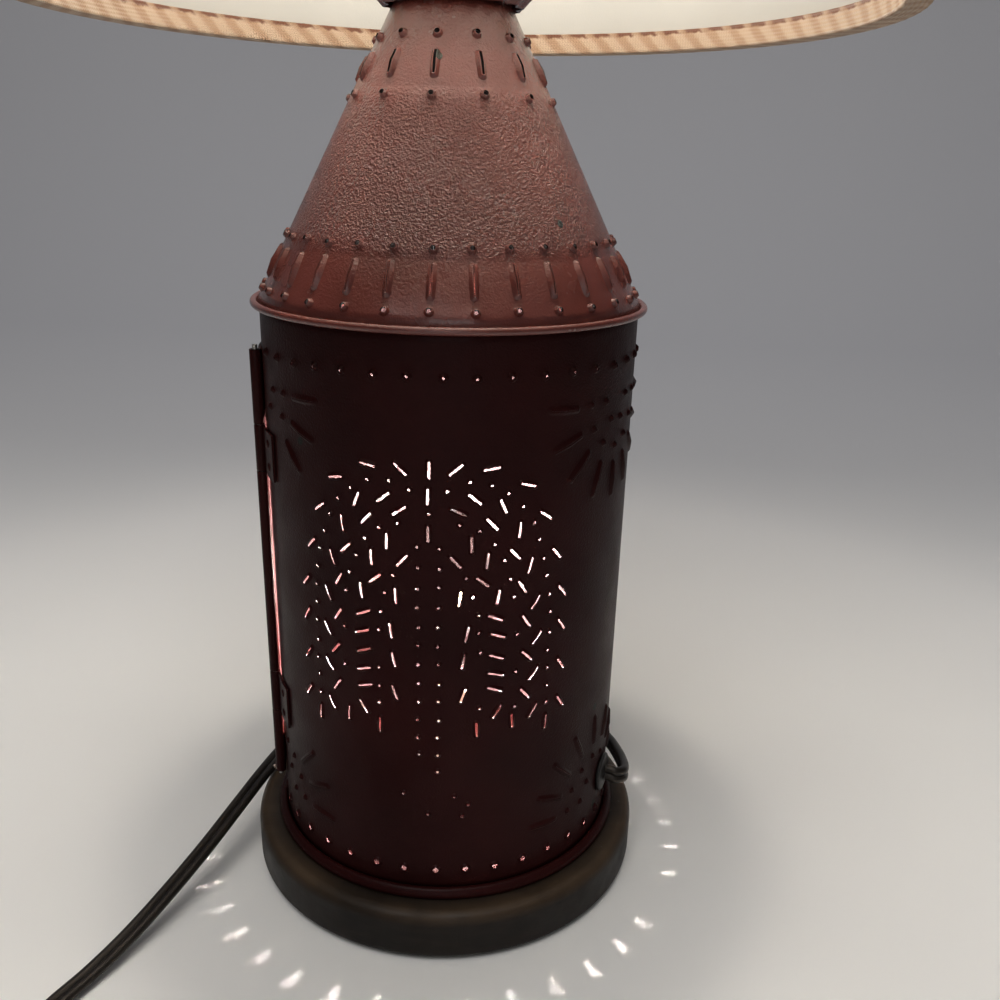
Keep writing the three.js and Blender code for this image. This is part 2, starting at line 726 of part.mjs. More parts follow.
// Saddle: a strip under the socket whose arms slope up to a post at each end
const saddleArm = [
  [saddleFlat, capTop],
  [saddleHalf - saddleEnd, postSeat - saddleThickness],
  [saddleHalf + saddleEnd, postSeat - saddleThickness],
  [saddleHalf + saddleEnd, postSeat],
  [saddleHalf - saddleEnd, postSeat],
  [saddleFlat, saddleTop],
];
const saddleOutline = [...saddleArm, ...saddleArm.map(([x, z]) => [-x, z]).reverse()];
const saddleShape = new THREE.Shape(saddleOutline.map(([x, z]) => new THREE.Vector2(x, z)));
const saddleStrip = new THREE.ExtrudeGeometry(saddleShape, { depth: saddleWidth, bevelEnabled: false });
let saddle = solid(saddleStrip.rotateX(Math.PI / 2).translate(0, saddleWidth / 2, 0));
saddle = saddle.subtract(turned(tubeOutline(0, pipeHole, capTop - 1, saddleTop + 1), smallSides));
for (const side of [1, -1]) {
  const atPost = moved(side * saddleHalf, 0);
  const post = tubeOutline(0, postRadius, postSeat - saddleThickness / 2, postTop);
  saddle = saddle.add(turned(post, 12, atPost));
  const bore = Math.max(postRadius, harpWireRadius) + clearance;
  const sleeveFoot = postSeat + clearance;
  const sleeve = tubeOutline(bore, bore + sleeveWall, sleeveFoot, sleeveFoot + sleeveLength);
  addPiece(side > 0 ? 'harp_sleeve_right' : 'harp_sleeve_left', turned(sleeve, 12, atPost), brass);
}
addPiece('harp_saddle', saddle, brass);

// Harp: a bent wire from post to post, with a shoulder and a threaded stud at the top
const halfHarp = [
  [saddleHalf, 0],
  [saddleHalf, harpLeg / 3],
  [saddleHalf, (harpLeg * 2) / 3],
  [saddleHalf, harpLeg],
  [saddleHalf + (harpSpread - saddleHalf) * 0.6, harpLeg + (harpHeight - harpLeg) * 0.2],
  [harpSpread, harpLeg + (harpHeight - harpLeg) * 0.42],
  [harpSpread * 0.86, harpLeg + (harpHeight - harpLeg) * 0.7],
  [harpSpread * 0.5, harpLeg + (harpHeight - harpLeg) * 0.93],
];
const harpPoints = [
  ...halfHarp.map(([x, rise]) => new THREE.Vector3(x, 0, harpFoot + rise)),
  new THREE.Vector3(0, 0, harpTop),
  ...halfHarp.map(([x, rise]) => new THREE.Vector3(-x, 0, harpFoot + rise)).reverse(),
];
const harpStud = [
  [0, harpTop - harpWireRadius],
  [shoulderRadius, harpTop - harpWireRadius],
  [shoulderRadius, shoulderTop],
  [studRadius, shoulderTop],
  [studRadius, shoulderTop + studLength],
  [0, shoulderTop + studLength],
];
addPiece('harp', wire(harpPoints, harpWireRadius, 40, 6).add(turned(harpStud, smallSides)), brass);

// Upper socket: cap, shell, card liner and core, with a turn switch through their front
const shellBore = shellRadius - shellWall;
const linerRadius = shellBore - clearance;
const coreRadius = linerRadius - linerWall - clearance;
const lipBore = shellRadius + clearance;
const coreTop = shellTop - 2 * shellWall;
const coreFoot = shellFoot + shellWall;
const bulbFloor = coreTop - bulbSeat;
const socketCapOutline = [
  [pipeHole, saddleTop],
  [pipeRadius * 1.7, saddleTop],
  [pipeRadius * 1.8, saddleTop + socketCapRise * 0.35],
  [lipBore - socketCapRise * 0.12, shellFoot - socketCapRise * 0.25],
  [lipBore + tin, shellFoot - tin],
  [lipBore + tin, shellFoot + socketCapLip],
  [lipBore, shellFoot + socketCapLip],
  [lipBore, shellFoot - clearance],
  [lipBore - socketCapRise * 0.2, shellFoot - socketCapRise * 0.25 + tin],
  [pipeHole, saddleTop + socketCapRise * 0.35 + tin],
];
addPiece('socket_cap', turned(socketCapOutline, smallSides), brass);

const knobHeight = shellFoot + socketCapLip + knobRise;
const knobPlace = new THREE.Matrix4().makeTranslation(0, 0, knobHeight).multiply(
  new THREE.Matrix4().makeRotationX(Math.PI / 2),
);
const knobInner = coreRadius * 0.6;
const knobRoom = turned(
  tubeOutline(0, knobStemRadius + clearance, knobInner - clearance, shellRadius * 2),
  10,
  knobPlace,
);
const shell = turned(tubeOutline(shellBore, shellRadius, shellFoot, shellTop), smallSides).subtract(knobRoom);
const liner = turned(tubeOutline(linerRadius - linerWall, linerRadius, shellFoot, shellTop), smallSides);
const core = turned(
  [
    [0, coreFoot],
    [coreRadius, coreFoot],
    [coreRadius, coreTop],
    [screwBaseRadius + clearance, coreTop],
    [screwBaseRadius + clearance, bulbFloor],
    [0, bulbFloor],
  ],
  smallSides,
);
addPiece('socket_shell', shell, brass);
addPiece('socket_liner', liner.subtract(knobRoom), card);
addPiece('socket_core', core.subtract(knobRoom), blackPlastic);

const stemEnd = shellRadius + knobReach;
const stem = turned(tubeOutline(0, knobStemRadius, knobInner, stemEnd + 1), 10, knobPlace);
const paddleShape = new THREE.Shape([
  new THREE.Vector2(-knobHalfWidth * 0.5, 0),
  new THREE.Vector2(knobHalfWidth * 0.5, 0),
  new THREE.Vector2(knobHalfWidth, knobPaddle * 0.4),
  new THREE.Vector2(knobHalfWidth * 0.8, knobPaddle),
  new THREE.Vector2(-knobHalfWidth * 0.8, knobPaddle),
  new THREE.Vector2(-knobHalfWidth, knobPaddle * 0.4),
]);
const paddle = new THREE.ExtrudeGeometry(paddleShape, { depth: knobThickness, bevelEnabled: false });
paddle.rotateZ(Math.PI).translate(0, -stemEnd, knobHeight - knobThickness / 2);
addPiece('switch_knob', stem.add(solid(paddle)), blackPlastic);

addBulb(
  'bulb',
  bulbFloor,
  bulbSeat + bulbProud,
  screwBaseRadius,
  bulbNeckRadius,
  bulbRadius,
  glassHeight,
  bulbWidest,
);

// Shade: a tapered skin with a wire ring and a folded trim at each edge, hung on a spider
const shadeSlope = (shadeBottomRadius - shadeTopRadius) / shadeHeight;
const skinRadiusAt = (height) => shadeTopRadius + shadeSlope * (shadeTop - height);
addPiece(
  'shade_skin',
  turned([
    [shadeBottomRadius - shadeWall, shadeFoot],
    [shadeBottomRadius, shadeFoot],
    [shadeTopRadius, shadeTop],
    [shadeTopRadius - shadeWall, shadeTop],
  ]),
  rustCheck,
);

const ringLift = ringWireRadius + clearance;
const ringInset = shadeWall + clearance + ringWireRadius * (1 + shadeSlope);
const lowRing = { radius: skinRadiusAt(shadeFoot + ringLift) - ringInset, height: shadeFoot + ringLift };
const highRing = { radius: skinRadiusAt(shadeTop - ringLift) - ringInset, height: shadeTop - ringLift };
const ringOutline = ({ radius, height }) => arc(radius, height, ringWireRadius, 0, 288, 4);
addPiece('shade_bottom_ring', turned(ringOutline(lowRing)), brass);

// A trim folded over the skin's edge and its ring: up is 1 at the top edge and -1 at the bottom edge.
function trim(edge, ring, up) {
  const mouth = edge - up * trimHeight;
  const back = edge + up * clearance;
  const far = back + up * trimWall;
  const inside = ring.radius - ringWireRadius - clearance;
  return turned([
    [skinRadiusAt(mouth) + clearance + trimWall, mouth],
    [skinRadiusAt(edge) + clearance + trimWall, far],
    [inside - trimWall, far],
    [inside - trimWall, mouth],
    [inside, mouth],
    [inside, back],
    [skinRadiusAt(edge) + clearance, back],
    [skinRadiusAt(mouth) + clearance, mouth],
  ]);
}
addPiece('shade_bottom_trim', trim(shadeFoot, lowRing, -1), rustCheck);

let spider = turned(ringOutline(highRing)).add(
  turned(tubeOutline(0, washerRadius, washerFoot, washerTop), smallSides),
);
let topTrim = trim(shadeTop, highRing, 1);
const washerMiddle = washerFoot + washerThickness / 2;
for (let i = 0; i < spiderArms; i++) {
  const azimuth = 180 + (360 * i) / spiderArms;
  const armPoints = [
    polar(azimuth, washerRadius * 0.7, washerMiddle),
    polar(azimuth, highRing.radius * 0.35, washerMiddle),
    polar(azimuth, highRing.radius * 0.75, THREE.MathUtils.lerp(washerMiddle, highRing.height, 0.3)),
    polar(azimuth, highRing.radius, highRing.height),
  ];
  spider = spider.add(wire(armPoints, ringWireRadius * 0.9, 6, 6));
  topTrim = topTrim.subtract(wire(armPoints, ringWireRadius * 0.9 + clearance * 1.5, 6, 6));
}
spider = spider.subtract(
  turned(tubeOutline(0, studRadius + clearance, washerFoot - 3, washerTop + 3), smallSides),
);
addPiece('shade_spider', spider, brass);
addPiece('shade_top_trim', topTrim, rustCheck);

// Finial: a turned knob on the harp's stud, down on the spider's washer
const finialFoot = washerTop + clearance;
const studTop = shoulderTop + studLength;
const finialOutline = [
  [studRadius + clearance, finialFoot],
  [finialRadius * 0.75, finialFoot],
  [finialRadius * 0.75, finialFoot + finialHeight * 0.12],
  [finialRadius * 0.55, finialFoot + finialHeight * 0.3],
  [finialRadius * 0.8, finialFoot + finialHeight * 0.45],
  ...arc(0, finialFoot + finialHeight - finialRadius, finialRadius, -20, 90, 4),
  [0, studTop + clearance],
  [studRadius + clearance, studTop + clearance],
];
addPiece('finial', turned(finialOutline, smallSides), brass);

// Bushing in the cord hole: a flange on each side of the tin
const bushingOuter = bodyRadius + clearance;
const bushingInner = Math.sqrt((bodyRadius - tin) ** 2 - bushingFlange ** 2) - clearance;
const bushingFace = bushingOuter + bushingThickness;
const bushingBack = bushingInner - bushingThickness;
const bushing = [
  [0, bushingBack],
  [bushingFlange, bushingBack],
  [bushingFlange, bushingInner],
  [bushingHole - clearance, bushingInner],
  [bushingHole - clearance, bushingOuter],
  [bushingFlange, bushingOuter],
  [bushingFlange * 0.85, bushingFace],
  [0, bushingFace],
];
addPiece('cord_bushing', turned(bushing, smallSides, bushingPlace), blackPlastic);

// Leads inside the lantern: from the bushing to the inner socket, and up the wall into the hood's pipe
const outward = polar(bushingAzimuth, 1);
const sideways = polar(bushingAzimuth + 90, 1);
function leadPoint(radius, aside, height) {
  return outward.clone().multiplyScalar(radius).addScaledVector(sideways, aside).setZ(height);
}
const leadStart = bushingBack - clearance;
const wallRadius = collarInner - 3 * leadRadius;
const lowerLead = [
  leadPoint(leadStart, -leadSpacing, bushingHeight),
  leadPoint(leadStart - leadStraight, -leadSpacing, bushingHeight),
  leadPoint(leadStart * 0.6, -leadSpacing, panTop + 2.5 * leadRise),
  leadPoint(leadStart * 0.4, -leadSpacing / 2, panTop + 1.25 * leadRise),
  leadPoint(innerSocketFoot + 1.5 * leadStraight, 0, panTop + leadRise),
  leadPoint(innerSocketFoot + clearance, 0, panTop + leadRise),
];
const upperLead = [
  leadPoint(leadStart, leadSpacing, bushingHeight),
  leadPoint(leadStart - leadStraight, leadSpacing, bushingHeight),
  leadPoint(leadStart - 2.25 * leadStraight, leadSpacing, bushingHeight + leadClimb),
  leadPoint(wallRadius - 2 * leadRadius, leadSpacing, panTop + bodyHeight * 0.4),
  leadPoint(wallRadius, leadSpacing, panTop + bodyHeight * 0.75),
  leadPoint(wallRadius - leadStraight, leadSpacing, bodyTop - collarDepth / 2),
  leadPoint(wallRadius * 0.62, leadSpacing / 2, hoodSeat + hoodHeight * 0.28),
  leadPoint(wallRadius * 0.2, 0, hoodSeat + hoodHeight * 0.66),
  leadPoint(0, 0, lampPipeFoot - 2 * leadStraight),
  leadPoint(0, 0, lampPipeFoot - clearance),
];
addPiece('lower_lead', wire(lowerLead, leadRadius, 14, 6), blackPlastic);
addPiece('upper_lead', wire(upperLead, leadRadius, 26, 6), blackPlastic);

// Flat section of the cord, as [across its width, through its thickness].
function cordSection(sides) {
  const across = cordWidth / 2;
  const through = cordThickness / 2;
  const tip = sides === 8 ? [[across, -through / 2], [across, through / 2]] : [[across, 0]];
  const half = [...tip, [across * 0.58, through]];
  return [
    ...half,
    [-across * 0.58, through],
    ...tip.map(([x, y]) => [-x, -y]),
    [-across * 0.58, -through],
    [across * 0.58, -through],
  ];
}

// A flat cord along points: its width is level where the tilt is 0 and upright where it is 90.
function flatCord(stations, section) {
  const positions = [];
  stations.forEach(({ point, way, tilt }) => {
    const level = new THREE.Vector3(-way.y, way.x, 0).normalize();
    const upright = new THREE.Vector3().crossVectors(way, level);
    const angle = THREE.MathUtils.degToRad(tilt);
    for (const [across, through] of section) {
      const x = across * Math.cos(angle) - through * Math.sin(angle);
      const y = across * Math.sin(angle) + through * Math.cos(angle);
      positions.push(...point.clone().addScaledVector(level, x).addScaledVector(upright, y).toArray());
    }
  });
  const sides = section.length;
  const index = [];
  for (let ring = 0; ring + 1 < stations.length; ring++) {
    for (let side = 0; side < sides; side++) {
      const a = ring * sides + side;
      const b = ring * sides + ((side + 1) % sides);
      index.push(a, b, b + sides, a, b + sides, a + sides);
    }
  }
  const last = (stations.length - 1) * sides;
  for (let side = 1; side + 1 < sides; side++) {
    index.push(0, side + 1, side, last, last + side, last + side + 1);
  }
  const geometry = new THREE.BufferGeometry();
  geometry.setAttribute('position', new THREE.Float32BufferAttribute(positions, 3));
  geometry.setIndex(index);
  return geometry;
}

// Directions along a list of points.
function stationsOf(points, tilts) {
  return points.map((point, i) => {
    const before = points[Math.max(i - 1, 0)];
    const after = points[Math.min(i + 1, points.length - 1)];
    return { point, way: after.clone().sub(before).normalize(), tilt: tilts[i] };
  });
}

// Coil: two layers that spiral in and out again, climbing where the spiral turns back
const coilStart = new THREE.Vector3(coilCentre.x - coilRadius, coilCentre.y, coilFloor);
const coilPoints = [coilStart.clone().add(new THREE.Vector3(0, cordWidth, 0))];
const coilTurns = coilTurnsIn + coilTurnsOut;
const coilRings = Math.round(coilTurns * coilSteps);
function coilPoint(turn) {
  const radius = coilRadius - coilPitch * (coilTurnsIn - Math.abs(coilTurnsIn - turn));
  const angle = Math.PI + 2 * Math.PI * turn;
  const lift = THREE.MathUtils.smoothstep(turn, climbStart, climbStart + 0.5) * coilLayer;
  const x = coilCentre.x + radius * Math.cos(angle);
  return new THREE.Vector3(x, coilCentre.y + radius * Math.sin(angle), coilFloor + lift);
}
for (let ring = 0; ring <= coilRings; ring++) coilPoints.push(coilPoint((coilTurns * ring) / coilRings));
const coilEnd = coilPoints.at(-1);
const tailAngle = Math.PI * 1.5 + 2 * Math.PI * coilTurns;
const tailWay = new THREE.Vector3(Math.cos(tailAngle), Math.sin(tailAngle), 0);
for (const share of [0.3, 0.55, 0.78, 1]) {
  const lift = THREE.MathUtils.smoothstep(share, 0, 0.78) * (tailRise - coilEnd.z);
  coilPoints.push(coilEnd.clone().addScaledVector(tailWay, tailLength * share).setZ(coilEnd.z + lift));
}
const coilStations = stationsOf(coilPoints, coilPoints.map(() => 0));
const coilGeometry = flatCord(coilStations, cordSection(6));
addPiece('cord_coil', solid(coilGeometry), blackPlastic);

// Least gap of the coil to itself, between points of turns at least half a turn apart
const coilCorners = coilGeometry.getAttribute('position');
let leastGap = Infinity;
for (let i = 0; i < coilCorners.count; i++) {
  const corner = new THREE.Vector3().fromBufferAttribute(coilCorners, i);
  for (let j = i + 3 * coilSteps; j < coilCorners.count; j++) {
    leastGap = Math.min(leastGap, corner.distanceTo(new THREE.Vector3().fromBufferAttribute(coilCorners, j)));
  }
}
console.log(`coil: least gap between turns ${leastGap.toFixed(2)} mm`);

// Free stretch of the cord, straight out of the bushing and into the coil
const cordStart = outward.clone().multiplyScalar(bushingFace + clearance).setZ(bushingHeight);
const stretchEnd = coilPoints[0].clone().add(new THREE.Vector3(0, clearance, 0));
const routePoints = [
  cordStart,
  cordStart.clone().addScaledVector(outward, cordThickness / 2),
  ...cordRoute.map(([x, y, z]) => new THREE.Vector3(x, y, z)),
  stretchEnd.clone().add(new THREE.Vector3(0, cordWidth / 2, 0)),
  stretchEnd,
];
const routeTilts = [90, 90, ...cordRoute.map((row) => row[3]), 0, 0];
const route = new THREE.CatmullRomCurve3(routePoints);
const stretchPoints = [];
const stretchTilts = [];
const stretchSteps = Math.round(1.5 * (routePoints.length - 1));
for (let i = 0; i <= stretchSteps; i++) {
  const place = (i / stretchSteps) * (routePoints.length - 1);
  const near = Math.min(Math.floor(place), routeTilts.length - 2);
  stretchPoints.push(route.getPoint(i / stretchSteps));
  stretchTilts.push(THREE.MathUtils.lerp(routeTilts[near], routeTilts[near + 1], place - near));
}
const stretchStations = stationsOf(stretchPoints, stretchTilts);
stretchStations[0].way = outward.clone();
stretchStations.at(-1).way = new THREE.Vector3(0, -1, 0);
addPiece('cord_stretch', solid(flatCord(stretchStations, cordSection(8))), blackPlastic);
const coilLength = new THREE.CatmullRomCurve3(coilPoints).getLength();
console.log(`cord: ${Math.round(route.getLength() + coilLength)} mm long`);

// Tie round the coil's turns
const tieShape = new THREE.Shape();
const bundleInner = coilRadius - coilPitch * coilTurnsIn - cordWidth / 2 - 2 * clearance;
const bundleOuter = coilRadius + cordWidth / 2 + clearance;
const bundleFoot = coilFloor - cordThickness / 2 - 1.5 * clearance;
const bundleTop = coilFloor + coilLayer + cordThickness / 2 + 1.5 * clearance;
function frame(path, margin) {
  path.moveTo(bundleInner - margin, bundleFoot - margin);
  path.lineTo(bundleOuter + margin, bundleFoot - margin);
  path.lineTo(bundleOuter + margin, bundleTop + margin);
  path.lineTo(bundleInner - margin, bundleTop + margin);
  path.closePath();
  return path;
}
frame(tieShape, tieWall).holes.push(frame(new THREE.Path(), 0));
const tie = new THREE.ExtrudeGeometry(tieShape, { depth: tieWidth, bevelEnabled: false });
tie.rotateX(Math.PI / 2).translate(0, tieWidth / 2, 0);
tie.rotateZ(THREE.MathUtils.degToRad(tieAzimuth)).translate(coilCentre.x, coilCentre.y, 0);
addPiece('coil_tie', solid(tie), blackPlastic);

// Plug: a moulded body at the end of the cord, with one narrow and one wide blade
const plugFace = coilPoints.at(-1).clone().addScaledVector(tailWay, clearance);
const plugShape = new THREE.Shape([
  new THREE.Vector2(0, -plugNeck),
  new THREE.Vector2(plugLength * 0.3, -plugHalfWidth * 0.9),
  new THREE.Vector2(plugLength * 0.7, -plugHalfWidth),
  new THREE.Vector2(plugLength, -plugHalfWidth * 0.92),
  new THREE.Vector2(plugLength, plugHalfWidth * 0.92),
  new THREE.Vector2(plugLength * 0.7, plugHalfWidth),
  new THREE.Vector2(plugLength * 0.3, plugHalfWidth * 0.9),
  new THREE.Vector2(0, plugNeck),
]);
const plugPlace = moved(plugFace.x, plugFace.y, plugFace.z).multiply(
  new THREE.Matrix4().makeRotationZ(Math.atan2(tailWay.y, tailWay.x)),
);
const plugForm = new THREE.ExtrudeGeometry(plugShape, { depth: plugThickness, bevelEnabled: false });
plugForm.translate(0, 0, -plugThickness / 2).applyMatrix4(plugPlace);
addPiece('plug_body', solid(plugForm), blackPlastic);
for (const [name, side, width] of [['narrow', 1, narrowBlade], ['wide', -1, wideBlade]]) {
  const blade = new THREE.BoxGeometry(bladeLength, bladeThickness, width);
  blade.translate(plugLength + clearance + bladeLength / 2, (side * bladeSpacing) / 2, 0);
  addPiece(`plug_blade_${name}`, solid(blade.applyMatrix4(plugPlace)), brass);
}

export default lamp;
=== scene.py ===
import math

import bmesh
import bpy
import numpy as np
from mathutils import Matrix, Vector
from mathutils.geometry import delaunay_2d_cdt


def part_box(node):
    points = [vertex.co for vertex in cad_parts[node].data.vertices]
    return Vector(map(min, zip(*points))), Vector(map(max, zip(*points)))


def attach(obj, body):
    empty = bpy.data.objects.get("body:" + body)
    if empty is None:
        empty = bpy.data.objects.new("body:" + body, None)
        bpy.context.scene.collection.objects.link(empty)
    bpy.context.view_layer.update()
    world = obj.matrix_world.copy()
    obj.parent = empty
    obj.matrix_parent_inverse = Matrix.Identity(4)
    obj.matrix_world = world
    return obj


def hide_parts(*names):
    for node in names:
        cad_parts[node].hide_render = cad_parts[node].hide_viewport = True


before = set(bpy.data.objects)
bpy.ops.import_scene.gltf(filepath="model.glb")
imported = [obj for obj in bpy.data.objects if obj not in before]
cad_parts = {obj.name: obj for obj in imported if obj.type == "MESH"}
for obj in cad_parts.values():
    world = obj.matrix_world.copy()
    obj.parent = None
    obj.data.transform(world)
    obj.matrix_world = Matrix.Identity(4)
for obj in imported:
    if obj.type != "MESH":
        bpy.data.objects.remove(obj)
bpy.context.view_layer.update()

scene = bpy.context.scene
scene.view_settings.view_transform = "Standard"
unit = 0.001  # everything is worked out in millimetres and put into the meshes in metres
rng = np.random.default_rng(5)  # the hand-punched marks' small irregularities, the same each run


# Lowest and highest corner of a CAD node, in millimetres.
def span(node):
    low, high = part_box(node)
    return np.array(low) / unit, np.array(high) / unit


# Outermost x, lowest and highest z of a CAD node: a turned piece's radius, foot and top.
def turnedSize(node):
    low, high = span(node)
    return high[0], low[2], high[2]


upright = np.array([0, 0, 1.0])


# Points at azimuths in degrees from -Y towards +X, with a radius and a height.
def polar(azimuth, radius, height):
    angle = np.radians(azimuth)
    return np.stack(np.broadcast_arrays(radius * np.sin(angle), -radius * np.cos(angle), height), -1)


# Eased share of the way between two limits: 3 s^2 - 2 s^3.
def smoothStep(low, high, value):
    share = np.clip((np.asarray(value, float) - low) / (high - low), 0, 1)
    return share * share * (3 - 2 * share)


# Angles of points spaced evenly round a circle.
def circle(count):
    return np.linspace(0, 2 * np.pi, count, endpoint=False)


# Points of an oval that is fuller than an ellipse: cosine and sine, each to a power below 1.
def softOval(count, power):
    return [np.sign(part) * np.abs(part) ** power for part in (np.cos(circle(count)), np.sin(circle(count)))]


# Quads between the neighbouring rows and columns of a grid of points.
def gridFaces(rows, cols, wrapRows=False, wrapCols=False):
    row = np.arange(rows if wrapRows else rows - 1)[:, None]
    col = np.arange(cols if wrapCols else cols - 1)[None, :]
    nextRow, nextCol = (row + 1) % rows, (col + 1) % cols
    corners = [row * cols + col, row * cols + nextCol, nextRow * cols + nextCol, nextRow * cols + col]
    return np.stack(corners, -1).reshape(-1, 4).tolist()


# Several shells as one list of points and one list of faces.
def joinShells(*shells):
    starts = np.cumsum([0] + [len(points) for points, _ in shells])
    faces = [[int(corner + start) for corner in face] for (_, own), start in zip(shells, starts) for face in own]
    return np.vstack([points for points, _ in shells]), faces


# Corners turned into short curves: (1-t)^2 A + 2t(1-t) P + t^2 B, with A and B a radius away from P.
def softCorners(corners, radius, steps=4, closed=True):
    point = np.asarray(corners, float)
    radius = np.broadcast_to(np.asarray(radius, float), len(point))[:, None]
    ends = []
    for shift in (1, -1):
        side = np.roll(point, shift, 0) - point
        length = np.maximum(np.linalg.norm(side, axis=1)[:, None], 1e-9)
        ends.append(point + side / length * np.minimum(radius, 0.48 * length))
    t = np.linspace(0, 1, steps + 1)[None, :, None]
    curve = (1 - t) ** 2 * ends[0][:, None] + 2 * t * (1 - t) * point[:, None] + t**2 * ends[1][:, None]
    if not closed:
        curve[0], curve[-1] = point[0], point[-1]
    return curve.reshape(-1, point.shape[1])


# A curve through points: cubic pieces whose tangents follow the square roots of the gaps.
def smoothPath(points, perSpan):
    point = np.asarray(points, float)
    wide = np.vstack([2 * point[0] - point[1], point, 2 * point[-1] - point[-2]])
    p0, p1, p2, p3 = wide[:-3], wide[1:-2], wide[2:-1], wide[3:]
    d0, d1, d2 = (np.sqrt(np.linalg.norm(b - a, axis=1))[:, None] for a, b in ((p0, p1), (p1, p2), (p2, p3)))
    m1 = (d1 * ((p1 - p0) / d0 - (p2 - p0) / (d0 + d1) + (p2 - p1) / d1))[:, None]
    m2 = (d1 * ((p2 - p1) / d1 - (p3 - p1) / (d1 + d2) + (p3 - p2) / d2))[:, None]
    t = (np.arange(perSpan) / perSpan)[None, :, None]
    start = (2 * t**3 - 3 * t**2 + 1) * p1[:, None] + (t**3 - 2 * t**2 + t) * m1
    curve = start + (3 * t**2 - 2 * t**3) * p2[:, None] + (t**3 - t**2) * m2
    return np.vstack([curve.reshape(-1, point.shape[1]), point[-1]])


# A profile of (radius, height) carried round an upright axis.
def turned(profile, sides=96, closed=True, centre=(0, 0)):
    angle = circle(sides)
    radius, height = np.asarray(profile, float).T
    x = centre[0] + radius[:, None] * np.cos(angle)
    y = centre[1] + radius[:, None] * np.sin(angle)
    points = np.stack(np.broadcast_arrays(x, y, height[:, None]), -1).reshape(-1, 3)
    return points, gridFaces(len(radius), sides, closed, True)


# A flat section carried along a path, its first axis as near to the reference as the path allows.
def swept(path, section, reference, closed=False):
    path = np.asarray(path, float)
    way = np.roll(path, -1, 0) - np.roll(path, 1, 0) if closed else np.gradient(path, axis=0)
    way /= np.linalg.norm(way, axis=1)[:, None]
    across = np.broadcast_to(np.asarray(reference, float), path.shape)
    across = across - (across * way).sum(1)[:, None] * way
    across /= np.linalg.norm(across, axis=1)[:, None]
    through = np.cross(way, across)
    section = np.broadcast_to(np.asarray(section, float), (len(path), *np.shape(section)[-2:]))
    points = path[:, None] + section[..., :1] * across[:, None] + section[..., 1:] * through[:, None]
    rows, cols = points.shape[:2]
    faces = gridFaces(rows, cols, closed, True)
    if not closed:
        faces += [list(range(cols)), list(range((rows - 1) * cols, rows * cols))]
    return points.reshape(-1, 3), faces


# A wire's section: points on a circle.
def roundSection(radius, sides=10):
    angle = circle(sides)
    return np.stack([radius * np.cos(angle), radius * np.sin(angle)], -1)


# A flat outline given a depth along a third axis; axes are the outline's two axes and the depth's.
def extruded(outline, low, high, axes, origin=(0, 0, 0)):
    outline, axes = np.asarray(outline, float), np.asarray(axes, float)
    layers = [np.asarray(origin) + outline @ axes[:2] + depth * axes[2] for depth in (low, high)]
    count = len(outline)
    faces = gridFaces(2, count, False, True)
    faces += [list(range(count)), list(range(count, 2 * count))]
    return np.vstack(layers), faces


# Puts a shell into the scene as a piece that rides on a body, with the looks named in finishes.
def addPiece(name, shell, body, finishes, replaced=(), faceSlots=None, uv=None, sharp=35, closed=True):
    points, faces = shell
    mesh = bpy.data.meshes.new(name)
    mesh.from_pydata((np.asarray(points) * unit).tolist(), [], faces)
    for finish in finishes:
        mesh.materials.append(looks[finish])
    if faceSlots is not None:
        mesh.polygons.foreach_set("material_index", np.asarray(faceSlots, np.int32))
    if uv is not None:
        corner = np.empty(len(mesh.loops), np.int32)
        mesh.loops.foreach_get("vertex_index", corner)
        mesh.uv_layers.new(name="flat").data.foreach_set("uv", (np.asarray(uv)[corner]).astype(np.float32).ravel())
    work = bmesh.new()
    work.from_mesh(mesh)
    bmesh.ops.remove_doubles(work, verts=work.verts, dist=1e-6)
    if closed:
        bmesh.ops.recalc_face_normals(work, faces=work.faces)
    work.to_mesh(mesh)
    work.free()
    mesh.shade_smooth()
    mesh.set_sharp_from_angle(angle=math.radians(sharp))
    piece = bpy.data.objects.new(name, mesh)
    scene.collection.objects.link(piece)
    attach(piece, body)
    if replaced:
        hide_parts(*replaced)
    return piece


# Thickness for an open sheet whose faces point outwards; its inner side and its edges may take the next material.
def giveWall(piece, wall, innerMaterial=0, rimMaterial=0):
    wallModifier = piece.modifiers.new("wall", "SOLIDIFY")
    wallModifier.thickness = wall * unit
    wallModifier.offset = -1
    wallModifier.material_offset = innerMaterial
    wallModifier.material_offset_rim = rimMaterial
    return piece


# Camera, where the photograph was taken from
cameraView = {
    "place": (32.86, -335.81, 260.49),
    "heading": 2.37,  # degrees from +Y towards -X
    "pitch": 20.8,  # degrees down
    "roll": 1.58,  # degrees that the right side is raised
    "lens": 35.02,
    "sensor": 36,
    "shiftY": 0.0298,
    "clip": (0.01, 20),  # metres
}


# Looks along the heading, tips down by the pitch, then rolls about that line.
def addCamera(view):
    heading, pitch, roll = (math.radians(view[key]) for key in ("heading", "pitch", "roll"))
    level = Vector((-math.sin(heading), math.cos(heading), 0))
    forward = level * math.cos(pitch) - Vector((0, 0, math.sin(pitch)))
    right = forward.cross(Vector((0, 0, 1))).normalized()
    up = right.cross(forward)
    right, up = right * math.cos(roll) + up * math.sin(roll), up * math.cos(roll) - right * math.sin(roll)
    data = bpy.data.cameras.new("camera")
    data.sensor_width, data.lens, data.shift_y = view["sensor"], view["lens"], view["shiftY"]
    data.clip_start, data.clip_end = view["clip"]
    camera = bpy.data.objects.new("camera", data)
    scene.collection.objects.link(camera)
    place = Vector(view["place"]) * unit
    camera.matrix_world = Matrix.Translation(place) @ Matrix((right, up, -forward)).transposed().to_4x4()
    scene.camera = camera


addCamera(cameraView)
print("camera placed")


